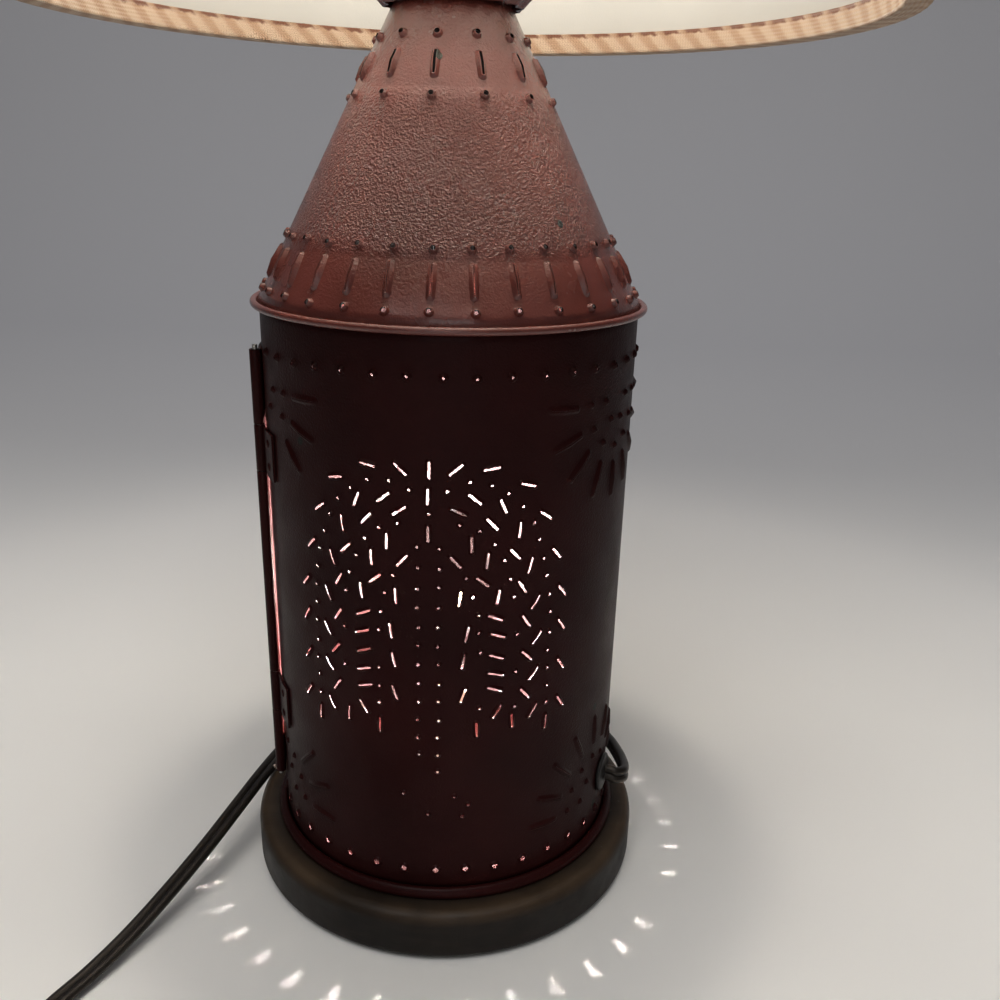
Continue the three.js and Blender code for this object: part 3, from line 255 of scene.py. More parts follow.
# A node in a tree, with settings and with values or links on its inputs.
def addNode(tree, kind, inputs=None, **settings):
    made = tree.nodes.new(kind)
    for key, value in settings.items():
        setattr(made, key, value)
    for key, value in (inputs or {}).items():
        if isinstance(value, bpy.types.NodeSocket):
            tree.links.new(value, made.inputs[key])
        else:
            made.inputs[key].default_value = value
    return made


# One step of arithmetic.
def calc(tree, operation, first, second=0.0):
    return addNode(tree, "ShaderNodeMath", {0: first, 1: second}, operation=operation).outputs[0]


# A value moved from one range to another and kept within it.
def remap(tree, value, low, high, toLow=0.0, toHigh=1.0):
    values = {"Value": value, "From Min": low, "From Max": high, "To Min": toLow, "To Max": toHigh}
    return addNode(tree, "ShaderNodeMapRange", values).outputs[0]


# A share of the second colour in the first.
def mixColor(tree, share, first, second):
    return addNode(tree, "ShaderNodeMix", {0: share, 6: first, 7: second}, data_type="RGBA").outputs[2]


# Cloudy noise, 0 to 1.
def noise(tree, vector, scale, detail=2.0, distortion=0.0):
    values = {"Vector": vector, "Scale": scale, "Detail": detail, "Distortion": distortion}
    return addNode(tree, "ShaderNodeTexNoise", values).outputs["Fac"]


# Values along an axis, from pairs of (place, value) on a ramp.
def ramp(tree, value, stops, mode="LINEAR"):
    made = addNode(tree, "ShaderNodeValToRGB", {"Fac": value})
    made.color_ramp.interpolation = mode
    elements = made.color_ramp.elements
    while len(elements) < len(stops):
        elements.new(0.5)
    for element, (place, colour) in zip(elements, stops):
        element.position = place
        element.color = colour if hasattr(colour, "__len__") else (colour, colour, colour, 1)
    return made.outputs["Color"]


# An empty group with its sockets.
def newGroup(name, inputs, outputs):
    group = bpy.data.node_groups.new(name, "ShaderNodeTree")
    for direction, sockets in (("INPUT", inputs), ("OUTPUT", outputs)):
        for label, kind in sockets:
            group.interface.new_socket(name=label, in_out=direction, socket_type="NodeSocket" + kind)
    return group, group.nodes.new("NodeGroupInput").outputs, group.nodes.new("NodeGroupOutput").inputs


# Cloudy value between two levels, used for uneven gloss and colour.
def mottleGroup():
    inputs = [("Vector", "Vector"), ("Scale", "Float"), ("Low", "Float"), ("High", "Float")]
    group, given, result = newGroup("mottle", inputs, [("Value", "Float")])
    cloud = noise(group, given["Vector"], given["Scale"], 4)
    group.links.new(remap(group, cloud, 0.3, 0.7, given["Low"], given["High"]), result["Value"])
    return group


# Fine raised grain: soft lumps with smaller lumps on them, 0 to 1.
def grainGroup():
    group, given, result = newGroup("grain", [("Vector", "Vector"), ("Scale", "Float")], [("Height", "Float")])
    lumps = noise(group, given["Vector"], given["Scale"], 1.0, 0.25)
    small = noise(group, given["Vector"], calc(group, "MULTIPLY", given["Scale"], 2.6), 1)
    height = calc(group, "ADD", calc(group, "MULTIPLY", lumps, 0.75), calc(group, "MULTIPLY", small, 0.25))
    group.links.new(height, result["Height"])
    return group


# Thin stray marks: the places where two stretched clouds both run high.
def scuffGroup():
    inputs = [("Vector", "Vector"), ("Scale", "Float"), ("Amount", "Float")]
    group, given, result = newGroup("scuff", inputs, [("Mask", "Float")])
    fine = noise(group, given["Vector"], given["Scale"], 5, 1.5)
    patch = noise(group, given["Vector"], calc(group, "MULTIPLY", given["Scale"], 0.13), 2)
    both = calc(group, "ADD", calc(group, "MULTIPLY", fine, 0.6), calc(group, "MULTIPLY", patch, 0.4))
    limit = calc(group, "SUBTRACT", 0.72, given["Amount"])
    mask = addNode(group, "ShaderNodeMapRange", {"Value": both, "From Min": limit, "From Max": 0.74})
    group.links.new(mask.outputs[0], result["Mask"])
    return group


aheadOfZero = 200.0  # whole repeats, so that patterns never count below zero


# Homespun check: stripes both ways, shown by whichever thread passes over at each crossing.
def wovenCheckGroup(stripes):
    inputs = [("Vector", "Vector"), ("Thread", "Float"), ("Repeat", "Float")]
    group, given, result = newGroup("wovenCheck", inputs, [("Color", "Color"), ("Height", "Float")])
    split = addNode(group, "ShaderNodeSeparateXYZ", {0: given["Vector"]})
    colours, waves, counts = [], [], []
    for axis in ("X", "Y"):
        along = calc(group, "DIVIDE", split.outputs[axis], given["Repeat"])
        colours.append(ramp(group, calc(group, "FRACT", calc(group, "ADD", along, aheadOfZero)), stripes, "CONSTANT"))
        threads = calc(group, "DIVIDE", split.outputs[axis], given["Thread"])
        counts.append(calc(group, "FLOOR", threads))
        waves.append(calc(group, "ABSOLUTE", calc(group, "SINE", calc(group, "MULTIPLY", threads, math.pi))))
    over = calc(group, "PINGPONG", calc(group, "ADD", *counts), 1.0)
    group.links.new(mixColor(group, over, *colours), result["Color"])
    height = addNode(group, "ShaderNodeMix", {0: over, 2: waves[1], 3: waves[0]}).outputs[0]
    group.links.new(height, result["Height"])
    return group


checkStripes = [
    (0.0, (0.62, 0.475, 0.285, 1)),
    (0.34, (0.115, 0.030, 0.015, 1)),
    (0.44, (0.62, 0.475, 0.285, 1)),
    (0.5, (0.25, 0.064, 0.028, 1)),
    (0.84, (0.115, 0.030, 0.015, 1)),
    (0.94, (0.25, 0.064, 0.028, 1)),
]
groups = {
    "mottle": mottleGroup(),
    "grain": grainGroup(),
    "scuff": scuffGroup(),
    "check": wovenCheckGroup(checkStripes),
}


# One of the shared groups in a material's tree.
def useGroup(tree, name, inputs):
    return addNode(tree, "ShaderNodeGroup", inputs, node_tree=groups[name]).outputs


# Cloudy value between two levels.
def cloudy(tree, place, scale, low=0.0, high=1.0):
    return useGroup(tree, "mottle", {"Vector": place, "Scale": scale, "Low": low, "High": high})["Value"]


# An empty material with its shader, and the coordinates that its patterns read.
def newMaterial(name, constants):
    material = bpy.data.materials.new(name)
    material.use_nodes = True
    tree = material.node_tree
    shader = tree.nodes["Principled BSDF"]
    for key, value in constants.items():
        shader.inputs[key].default_value = value
    place = addNode(tree, "ShaderNodeTexCoord").outputs["Object"]
    return material, tree, shader, place


# Links a value to some of a shader's sockets.
def feed(shader, value, *sockets):
    for socket in sockets:
        shader.id_data.links.new(value, shader.inputs[socket])


# Small relief in the shading.
def addBump(tree, shader, height, strength, distance):
    made = addNode(tree, "ShaderNodeBump", {"Height": height, "Strength": strength, "Distance": distance})
    feed(shader, made.outputs["Normal"], "Normal")


plain = {"glossPatch": 2.3, "bump": 0.4}  # gloss varies over smaller patches than colour does


# A finish with cloudy colour and gloss and a fine grain, which most of the small pieces share.
def plainFinish(name, dark, light, gloss, metallic=0.0, patch=40.0, grainScale=900.0, grainDepth=0.00015, **constants):
    material, tree, shader, place = newMaterial(name, {"Metallic": metallic, **constants})
    feed(shader, mixColor(tree, cloudy(tree, place, patch), (*dark, 1), (*light, 1)), "Base Color")
    feed(shader, cloudy(tree, place, patch * plain["glossPatch"], *gloss), "Roughness")
    grain = useGroup(tree, "grain", {"Vector": place, "Scale": grainScale})["Height"]
    addBump(tree, shader, grain, plain["bump"], grainDepth)
    return material


# One barn-red paint in two copies, and what both share. The body's copy, also used on the pan and door, is made far
# darker as painted shade. The hood's copy is near the paint's own colour but lightened a little as painted light.
bodyPaintShaded = {
    "dark": (0.0142, 0.0024, 0.0024, 1),
    "light": (0.026, 0.0047, 0.0045, 1),
    "chip": (0.006, 0.007, 0.005, 1),
    "specular": 0.06,
    "coat": 0.03,
    "gloss": (0.36, 0.5),
    "peelScale": 1500.0,
    "peelDepth": 0.0006,
    "peelStrengths": [(0.0, 0.35), (0.4, 0.3), (0.67, 0.5)],
}
# The hood's copy: lighter than the body's, painted light
hoodPaintLit = {
    "dark": (0.098, 0.0240, 0.0188, 1),
    "light": (0.150, 0.0385, 0.0305, 1),
    "chip": (0.012, 0.016, 0.011, 1),
    "specular": 0.6,
    "coat": 0.05,
    "gloss": (0.2, 0.29),
    "peelScale": 1250.0,
    "peelDepth": 0.0027,
    "peelStrengths": [(0.69, 0.06), (0.73, 0.12), (0.752, 1.0), (0.852, 1.0), (0.875, 0.12)],
}
paintWork = {
    "coatRoughness": 0.14,
    "cloud": 22.0,
    "glossPatch": 60.0,
    "chipCells": 52.0,
    "chipSize": 0.085,
    "chipFrom": 0.83,  # only cells whose own value is higher have a chip
    "peelBump": 0.8,
    "peelTop": 320.0,  # millimetres; the peel's strengths are at shares of it
}


# Barn-red paint: orange peel that is strongest on the hood's middle, uneven gloss, a few chips. It is made twice: the
# body's copy darkened as painted shade, and the hood's lightened as painted light.
def redPaintMaterial(name, paint):
    constants = {"Specular IOR Level": paint["specular"], "Coat Weight": paint["coat"],
                 "Coat Roughness": paintWork["coatRoughness"]}
    material, tree, shader, place = newMaterial(name, constants)
    coat = mixColor(tree, cloudy(tree, place, paintWork["cloud"]), paint["dark"], paint["light"])
    cells = addNode(tree, "ShaderNodeTexVoronoi", {"Vector": place, "Scale": paintWork["chipCells"]})
    rare = addNode(tree, "ShaderNodeSeparateColor", {0: cells.outputs["Color"]}).outputs[0]
    spot = calc(tree, "LESS_THAN", cells.outputs["Distance"], calc(tree, "MULTIPLY", rare, paintWork["chipSize"]))
    chipped = calc(tree, "MULTIPLY", spot, calc(tree, "GREATER_THAN", rare, paintWork["chipFrom"]))
    feed(shader, mixColor(tree, chipped, coat, paint["chip"]), "Base Color")
    feed(shader, cloudy(tree, place, paintWork["glossPatch"], *paint["gloss"]), "Roughness")
    height = addNode(tree, "ShaderNodeSeparateXYZ", {0: place}).outputs["Z"]
    strength = ramp(tree, calc(tree, "DIVIDE", height, paintWork["peelTop"] * unit), paint["peelStrengths"])
    peel = useGroup(tree, "grain", {"Vector": place, "Scale": paint["peelScale"]})["Height"]
    addBump(tree, shader, calc(tree, "MULTIPLY", peel, strength), paintWork["peelBump"], paint["peelDepth"])
    return material


wood = {
    "deep": (0.0064, 0.0043, 0.0032, 1),
    "lit": (0.0155, 0.0106, 0.0077, 1),
    "topBand": (0.066, 0.041, 0.023, 1),
    "scuffed": (0.16, 0.14, 0.115, 1),
    "specular": 0.2,
    "gloss": (0.42, 0.62),
    "glossPatch": 90.0,
    "streakStretch": (0.12, 1.0, 1.0),
    "streakScale": 260.0,
    "streakShare": 0.7,
    "streakBump": 0.25,
    "streakDepth": 0.0004,
    "cloud": 30.0,
    "topBandIn": (9.0, 3.0),  # millimetres in from the rim, from none of the brown band to all of it
    "topBandUp": (0.74, 0.6),  # share of the height with none of the band, and millimetres below the top with all of it
    "scuffStretch": (1.0, 1.0, 0.3),
    "scuffScale": 170.0,
    "scuffAmount": 0.055,
    "scuffStrength": 0.5,
}


# Dark stained wood: streaks along the grain, a browner band round the top of the rim and a few pale scuffs.
def darkWoodMaterial():
    material, tree, shader, place = newMaterial("darkWood", {"Specular IOR Level": wood["specular"]})
    along = addNode(tree, "ShaderNodeMapping", {"Vector": place, "Scale": wood["streakStretch"]}).outputs[0]
    streaks = noise(tree, along, wood["streakScale"], 5, 0.6)
    cloud = cloudy(tree, place, wood["cloud"])
    streaked, clouded = (calc(tree, "MULTIPLY", value, share) for value, share in (
        (streaks, wood["streakShare"]), (cloud, 1 - wood["streakShare"])))
    colour = mixColor(tree, remap(tree, calc(tree, "ADD", streaked, clouded), 0.3, 0.68), wood["deep"], wood["lit"])
    split = addNode(tree, "ShaderNodeSeparateXYZ", {0: place})
    out = calc(tree, "SQRT", calc(tree, "ADD", *(calc(tree, "POWER", split.outputs[a], 2.0) for a in "XY")))
    (_, _, foot), (radius, _, top) = span("wood_base")
    rim = remap(tree, out, *((radius - inset) * unit for inset in wood["topBandIn"]))
    topBandLow, topBandHigh = foot + wood["topBandUp"][0] * (top - foot), top - wood["topBandUp"][1]
    high = remap(tree, split.outputs["Z"], topBandLow * unit, topBandHigh * unit)
    banded = calc(tree, "MULTIPLY", calc(tree, "MULTIPLY", rim, high), remap(tree, cloud, 0.2, 0.8, 0.25, 0.9))
    colour = mixColor(tree, banded, colour, wood["topBand"])
    marks = addNode(tree, "ShaderNodeMapping", {"Vector": place, "Scale": wood["scuffStretch"]}).outputs[0]
    scuffing = {"Vector": marks, "Scale": wood["scuffScale"], "Amount": wood["scuffAmount"]}
    scuffs = calc(tree, "MULTIPLY", useGroup(tree, "scuff", scuffing)["Mask"], wood["scuffStrength"])
    feed(shader, mixColor(tree, scuffs, colour, wood["scuffed"]), "Base Color")
    feed(shader, cloudy(tree, place, wood["glossPatch"], *wood["gloss"]), "Roughness")
    addBump(tree, shader, streaks, wood["streakBump"], wood["streakDepth"])
    return material


shadeWeave = {
    "thread": 1.1,
    "repeat": 23.0,
    "slub": (0.70, 0.56, 0.36, 1),
    "slubScale": 240.0,
    "slubShare": 0.22,
    "bump": 0.6,
    "depth": 0.0005,
    # The emission is a faint painted glow of light through the cloth
    "constants": {"Roughness": 0.9, "Sheen Weight": 0.15, "Emission Strength": 0.05},
}


# Woven check cloth on the shade's own flat cut, with paler slubs, and a faint glow in its own colours: painted light
# for the bulb shining through.
def checkClothMaterial():
    material, tree, shader, place = newMaterial("checkCloth", shadeWeave["constants"])
    flat = addNode(tree, "ShaderNodeUVMap", uv_map="flat").outputs[0]
    slub = noise(tree, place, shadeWeave["slubScale"], 3)
    weave = {"Vector": flat, "Thread": shadeWeave["thread"] * unit, "Repeat": shadeWeave["repeat"] * unit}
    cloth = useGroup(tree, "check", weave)
    slubby = remap(tree, slub, 0.35, 0.75, 0.0, shadeWeave["slubShare"])
    feed(shader, mixColor(tree, slubby, cloth["Color"], shadeWeave["slub"]), "Base Color", "Emission Color")
    raised = calc(tree, "MULTIPLY", cloth["Height"], remap(tree, slub, 0.2, 0.8, 0.6, 1.2))
    addBump(tree, shader, raised, shadeWeave["bump"], shadeWeave["depth"])
    return material


tapeCloth = {
    "cream": (0.285, 0.203, 0.136, 1),
    "tan": (0.19, 0.106, 0.056, 1),
    "rust": (0.080, 0.024, 0.007, 1),
    "repeat": 11.0,
    "stripes": [(0.0, 0.0), (0.18, 0.0), (0.38, 1.0), (0.62, 1.0), (0.85, 0.0)],
    "stripeStrength": 0.75,
    "slant": 1.1,
    "fuzz": 420.0,
    "wander": 2.4,
    "dashes": [(0.0, 1.0), (0.45, 1.0), (0.6, 0.25), (0.8, 0.25), (0.95, 1.0)],
    "dashDepth": 1.7,
    "thread": 0.9,
    "mouth": 25.0,  # length of the folded tape's outer side, from edge to edge
    "bias": 45.0,
    "bump": 0.6,
    "depth": 0.0006,
    # The emission is a painted glow of light through the tape
    "constants": {"Roughness": 0.92, "Sheen Weight": 0.2, "Emission Strength": 0.25},
}


# Bias tape: soft slanting stripes of the check, with rust dashes along both edges, and a glow in its own colours:
# painted light for the bulb shining through.
def tapeMaterial():
    material, tree, shader, place = newMaterial("checkTape", tapeCloth["constants"])
    flat = addNode(tree, "ShaderNodeUVMap", uv_map="flat").outputs[0]
    split = addNode(tree, "ShaderNodeSeparateXYZ", {0: flat})
    fuzz = noise(tree, place, tapeCloth["fuzz"], 3)
    wander = calc(tree, "MULTIPLY", calc(tree, "SUBTRACT", fuzz, 0.5), tapeCloth["wander"] * unit)
    edge = calc(tree, "PINGPONG", split.outputs["Y"], tapeCloth["mouth"] / 2 * unit)
    leaning = calc(tree, "ADD", split.outputs["X"], calc(tree, "MULTIPLY", edge, tapeCloth["slant"]))
    run = calc(tree, "DIVIDE", calc(tree, "ADD", leaning, wander), tapeCloth["repeat"] * unit)
    phase = calc(tree, "FRACT", calc(tree, "ADD", run, aheadOfZero))
    stripe = calc(tree, "MULTIPLY", ramp(tree, phase, tapeCloth["stripes"]), tapeCloth["stripeStrength"])
    colour = mixColor(tree, stripe, tapeCloth["cream"], tapeCloth["tan"])
    depth = tapeCloth["dashDepth"] * unit
    nearEdge = remap(tree, calc(tree, "ADD", edge, wander), depth, 0.6 * depth)
    dash = calc(tree, "MULTIPLY", nearEdge, ramp(tree, phase, tapeCloth["dashes"]))
    feed(shader, mixColor(tree, dash, colour, tapeCloth["rust"]), "Base Color", "Emission Color")
    turning = {"Vector": flat, "Rotation": (0, 0, math.radians(tapeCloth["bias"]))}
    biased = addNode(tree, "ShaderNodeMapping", turning).outputs[0]
    weave = {"Vector": biased, "Thread": tapeCloth["thread"] * unit, "Repeat": tapeCloth["repeat"] * unit}
    addBump(tree, shader, useGroup(tree, "check", weave)["Height"], tapeCloth["bump"], tapeCloth["depth"])
    return material


clearGlass = {"haze": (0.02, 0.07), "hazePatch": 70.0, "constants": {"Transmission Weight": 1.0, "IOR": 1.45}}


# Clear glass with a slight haze.
def clearGlassMaterial():
    material, tree, shader, place = newMaterial("clearGlass", clearGlass["constants"])
    feed(shader, cloudy(tree, place, clearGlass["hazePatch"], *clearGlass["haze"]), "Roughness")
    return material


softWhite = {
    "neck": (0.85, 0.60, 0.36, 1),
    "globe": (1.0, 0.90, 0.74, 1),
    "constants": {"Roughness": 0.35, "Emission Strength": 3.0},
}


# Soft-white bulb, evenly bright but for a little less light at its neck.
def litBulbMaterial():
    material, tree, shader, place = newMaterial("litBulb", softWhite["constants"])
    height = addNode(tree, "ShaderNodeSeparateXYZ", {0: place}).outputs["Z"]
    foot, top = (corner[2] * unit for corner in span("bulb_glass"))
    warm = mixColor(tree, remap(tree, height, foot, (foot + top) / 2), softWhite["neck"], softWhite["globe"])
    feed(shader, warm, "Emission Color", "Base Color")
    return material


# Plain finishes: dark and light colour, gloss, then metallic, patch, and grain's scale and depth where they matter
plainLooks = {
    "tinInside": ((0.062, 0.030, 0.031), (0.094, 0.050, 0.052), (0.42, 0.6), 0.1, 30.0, 700.0),
    # The hood's inside, and the cut edges of its slits, are near black: painted shade that keeps its holes dark
    # although the bulb in the lantern lights them
    "hoodInsidePaintedShade": ((0.0008, 0.0005, 0.0005), (0.002, 0.0012, 0.0011), (0.75, 0.9), 0.0, 30.0, 700.0),
    "redInside": ((0.036, 0.0072, 0.0072), (0.055, 0.0115, 0.011), (0.4, 0.55), 0.0, 30.0, 700.0),
    "felt": ((0.010, 0.016, 0.010), (0.022, 0.034, 0.020), (0.9, 1.0), 0.0, 120.0, 2600.0, 0.0008),
    "steel": ((0.34, 0.33, 0.31), (0.56, 0.55, 0.52), (0.28, 0.46), 1.0, 90.0),
    "brass": ((0.36, 0.23, 0.085), (0.62, 0.44, 0.18), (0.2, 0.38), 1.0, 60.0),
    "card": ((0.15, 0.10, 0.06), (0.24, 0.165, 0.10), (0.85, 0.95), 0.0, 150.0),
    "blackPlastic": ((0.009, 0.008, 0.008), (0.016, 0.015, 0.014), (0.34, 0.5), 0.0, 80.0),
    "cordSkin": ((0.0095, 0.0078, 0.0066), (0.020, 0.0165, 0.0138), (0.3, 0.46), 0.0, 55.0, 1500.0),
    "creamPlastic": ((0.62, 0.55, 0.41), (0.74, 0.67, 0.52), (0.4, 0.5), 0.0, 50.0),
    "lining": ((0.315, 0.31, 0.292), (0.35, 0.345, 0.325), (0.75, 0.9), 0.0, 14.0, 1400.0, 0.0002),
    "filament": ((1.0, 0.62, 0.3), (1.0, 0.72, 0.42), (0.5, 0.6)),
}
plainConstants = {
    "hoodInsidePaintedShade": {"Specular IOR Level": 0.03},
    "blackPlastic": {"Specular IOR Level": 0.3},
    # The cord's reflections are tinted warm: a painted reflection colour
    "cordSkin": {"Specular IOR Level": 0.3, "Specular Tint": (1.0, 0.88, 0.8, 1)},
    "filament": {"Emission Color": (1.0, 0.8, 0.55, 1), "Emission Strength": 60.0},
}
looks = {name: plainFinish(name, *values, **plainConstants.get(name, {})) for name, values in plainLooks.items()}
looks |= {
    # The same paint twice: the body's copy is painted shade, the hood's copy is painted light
    "redTin": redPaintMaterial("redTin", bodyPaintShaded),
    "redHoodLit": redPaintMaterial("redHoodLit", hoodPaintLit),
    "darkWood": darkWoodMaterial(),
    "checkCloth": checkClothMaterial(),
    "checkTape": tapeMaterial(),
    "clearGlass": clearGlassMaterial(),
    "litBulb": litBulbMaterial(),
}
print("materials made")

# Levels and radii that the pieces share, from the CAD nodes
bodyLow, bodyHigh = span("lantern_body")
bodyRadius, bodyFoot, bodyTop = bodyHigh[0], bodyLow[2], bodyHigh[2]
gap = 0.3  # the CAD's clearance between pieces


# Cord: the route's points are those of the CAD, as x, y, z and the tilt of the flat side from level
cordShape = {"lobeRadius": 1.72, "lobeOffset": 1.6, "points": 13, "perSpan": 9}
cordExit = {"azimuth": 73, "radius": bodyRadius + 2.1, "height": bodyFoot + 22.7, "straight": 1.75}
cordRoute = np.array([
    [66.2, -20.1, 42.5, 90],
    [69.2, -18, 41.6, 90],
    [70.4, -13.2, 40.2, 90],
    [70.2, -4.5, 38, 90],
    [69.2, 5, 35.8, 88],
    [67, 16, 33.6, 84],
    [63, 28, 31.4, 76],
    [56.6, 40, 29.4, 64],
    [47, 51.8, 27.6, 48],
    [34.5, 61.6, 25.6, 31],
    [19.5, 68.8, 23.4, 15],
    [2.5, 72.3, 22.1, 5],
    [-17.6, 70.4, 21.8, 0],
    [-36.3, 62.9, 21.8, 0],
    [-52.2, 50.4, 21.8, 0],
    [-64.1, 34.1, 21.9, 0],
    [-71.3, 17.8, 22, 0],
    [-76, -1, 21.5, 0],
    [-80.9, -20.5, 19.3, 0],
    [-87.3, -41.3, 15.3, 0],
    [-94.7, -60.2, 10.7, 0],
    [-102.5, -78, 6.5, 0],
    [-109.8, -92.9, 4, 0],
    [-115.8, -105, 3.3, 0],
    [-120.5, -119, 3, 0],
    [-124, -133.5, 3, 0],
    [-125.8, -145.5, 3, 0],
])
coil = {
    "centre": (-78.5, -162.0),
    "radius": 47.5,
    "pitch": 7.4,
    "turnsIn": 3.25,
    "turnsOut": 3.083,
    "floor": 3.0,
    "layer": 4.2,
    "climbStart": 3.0,
    "steps": 56,  # in a turn
    "tail": 30.0,
    "tailRise": 8.2,
    "tailSteps": 12,
    "tailEase": 0.78,  # share of the tail in which it rises
    "lead": (10.05, 6.7, 3.35),  # distances of the straight points before the first turn
}


# Coil: radius falls by a pitch a turn and rises again, angle runs on, and half a turn climbs a layer.
def coilPath():
    turns = coil["turnsIn"] + coil["turnsOut"]
    turn = np.linspace(0, turns, round(turns * coil["steps"]))
    radius = coil["radius"] - coil["pitch"] * (coil["turnsIn"] - np.abs(coil["turnsIn"] - turn))
    angle = np.pi + 2 * np.pi * turn
    height = coil["floor"] + coil["layer"] * smoothStep(coil["climbStart"], coil["climbStart"] + 0.5, turn)
    x, y = coil["centre"][0] + radius * np.cos(angle), coil["centre"][1] + radius * np.sin(angle)
    return np.stack([x, y, height], -1), np.array([-np.sin(angle[-1]), np.cos(angle[-1]), 0])


coilTurns, tailWay = coilPath()
tailShare = np.linspace(0, 1, coil["tailSteps"] + 1)[1:, None]
tailLift = smoothStep(0, coil["tailEase"], tailShare) * (coil["tailRise"] - coilTurns[-1][2])
cordTail = coilTurns[-1] + tailShare * coil["tail"] * tailWay + tailLift * upright
outward = polar(cordExit["azimuth"], 1.0, 0.0)
cordStart = polar(cordExit["azimuth"], cordExit["radius"], cordExit["height"])
coilLead = coilTurns[0] + np.array([[0, ahead, 0] for ahead in coil["lead"]])
cordOut = cordStart + cordExit["straight"] * outward
routePoints = np.vstack([cordStart, cordOut, cordRoute[:, :3], coilLead[:2]])
routeTilts = np.concatenate([[90, 90], cordRoute[:, 3], [0, 0]])
stretch = smoothPath(routePoints, cordShape["perSpan"])
cordPath = np.vstack([stretch, coilLead[2:], coilTurns, cordTail])
cordTilt = np.zeros(len(cordPath))
tiltPlaces = np.linspace(0, len(routeTilts) - 1, len(stretch))
cordTilt[:len(stretch)] = np.interp(tiltPlaces, range(len(routeTilts)), routeTilts)


# Two round lobes side by side: half thickness at x is sqrt(r^2 - (|x| - c)^2).
def cordSection():
    reach = cordShape["lobeRadius"] + cordShape["lobeOffset"]
    x = reach * np.cos(np.linspace(0, np.pi, cordShape["points"]))
    half = np.sqrt(np.maximum(cordShape["lobeRadius"] ** 2 - (np.abs(x) - cordShape["lobeOffset"]) ** 2, 0))
    return np.vstack([np.stack([x, half], -1), np.stack([x, -half], -1)[-2:0:-1]])


cordWay = np.gradient(cordPath, axis=0)
cordWay /= np.linalg.norm(cordWay, axis=1)[:, None]
cordLevel = np.stack([-cordWay[:, 1], cordWay[:, 0], np.zeros(len(cordWay))], -1)
cordLevel /= np.linalg.norm(cordLevel, axis=1)[:, None]
cordUpright = np.cross(cordWay, cordLevel)
cordLean = np.radians(cordTilt)[:, None]
cordSide = cordLevel * np.cos(cordLean) + cordUpright * np.sin(cordLean)
lampCord = addPiece("lampCord", swept(cordPath, cordSection(), cordSide), "lamp",
                    ["cordSkin"], ["cord_stretch", "cord_coil"], sharp=70)
print("cord laid")

# Plug: rounded sections that widen from the cord, with grip ribs on the sides
plug = {
    "length": 28.0,
    "rows": 57,
    "sides": 40,
    "softness": 0.62,
    # share of the length, half width, half thickness
    "stations": [(0.0, 4.2, 3.6), (0.06, 5.4, 4.6), (0.3, 11.0, 6.9),
                 (0.7, 12.4, 7.4), (0.94, 11.8, 7.2), (1.0, 10.8, 6.4)],
    "ribs": 7,
    "ribDepth": 0.35,
    "ribSpan": 0.55,
    "ribsBegin": (0.12, 0.2),
    "ribsEnd": (0.6, 0.68),
}


# Half width and half thickness between the stations, less a cosine for the ribs, round a soft oval.
def plugShell():
    share = np.linspace(0, 1, plug["rows"])
    rows = np.array(plug["stations"])
    wide, thick = (np.interp(share, rows[:, 0], rows[:, column]) for column in (1, 2))
    inRibs = smoothStep(*plug["ribsBegin"], share) * (1 - smoothStep(*plug["ribsEnd"], share))
    wide = wide - plug["ribDepth"] * inRibs * (1 + np.cos(2 * np.pi * plug["ribs"] * share / plug["ribSpan"]))
    soft = softOval(plug["sides"], plug["softness"])
    section = np.stack([wide[:, None] * soft[0], thick[:, None] * soft[1]], -1)
    start = cordTail[-1] + gap * tailWay
    path = start + share[:, None] * plug["length"] * tailWay
    return swept(path, section, np.array([-tailWay[1], tailWay[0], 0]))


plugBody = addPiece("plugBody", plugShell(), "lamp", ["blackPlastic"], ["plug_body"])

# Tie: a flat strap round the coil's turns with its ends twisted together
tie = {
    "azimuth": 235,
    "inner": 19.5,
    "outer": 51.15,
    "foot": 0.8,
    "top": 9.4,
    "wall": 0.5,
    "width": 7.0,
    "corner": 2.0,
    "twist": 11.0,
    "twistTurns": 2.5,
    "twistRadius": 0.9,
    "twistWire": 0.75,
}


# A strap carried round a rectangle with soft corners, and two wires that wind round each other.
def tieShell():
    angle = np.radians(tie["azimuth"])
    out, side = np.array([np.cos(angle), np.sin(angle), 0]), np.array([-np.sin(angle), np.cos(angle), 0])
    middle = np.array([*coil["centre"], 0.0])
    half, wide = tie["wall"] / 2, tie["width"] / 2
    inner, outer, foot, top = tie["inner"] - half, tie["outer"] + half, tie["foot"] - half, tie["top"] + half
    loop = softCorners([(inner, foot), (outer, foot), (outer, top), (inner, top)], tie["corner"], 6)
    path = middle + loop[:, :1] * out + loop[:, 1:] * upright
    strip = softCorners([(-wide, -half), (wide, -half), (wide, half), (-wide, half)], 0.2, 2)
    shells = [swept(path, strip, side, closed=True)]
    share = np.linspace(0, 1, 40)[:, None]
    for start in (0, np.pi):
        turn = start + 2 * np.pi * tie["twistTurns"] * share
        reach = tie["outer"] + tie["wall"] + tie["twist"] * share
        lift = (tie["foot"] + tie["top"]) / 2 + tie["twistRadius"] * np.sin(turn)
        twist = middle + reach * out + tie["twistRadius"] * np.cos(turn) * side + lift * upright
        shells.append(swept(twist, roundSection(tie["twistWire"], 8), upright))
    return joinShells(*shells)


coilTie = addPiece("coilTie", tieShell(), "lamp", ["blackPlastic"], ["coil_tie"])

# Bushing where the cord leaves the tin: a profile of (radius, distance from the axis) on the exit's own axis
bushing = {"flange": 7.5, "hole": 5.7, "inner": 61.9, "wall": 1.5, "crown": 4.6}


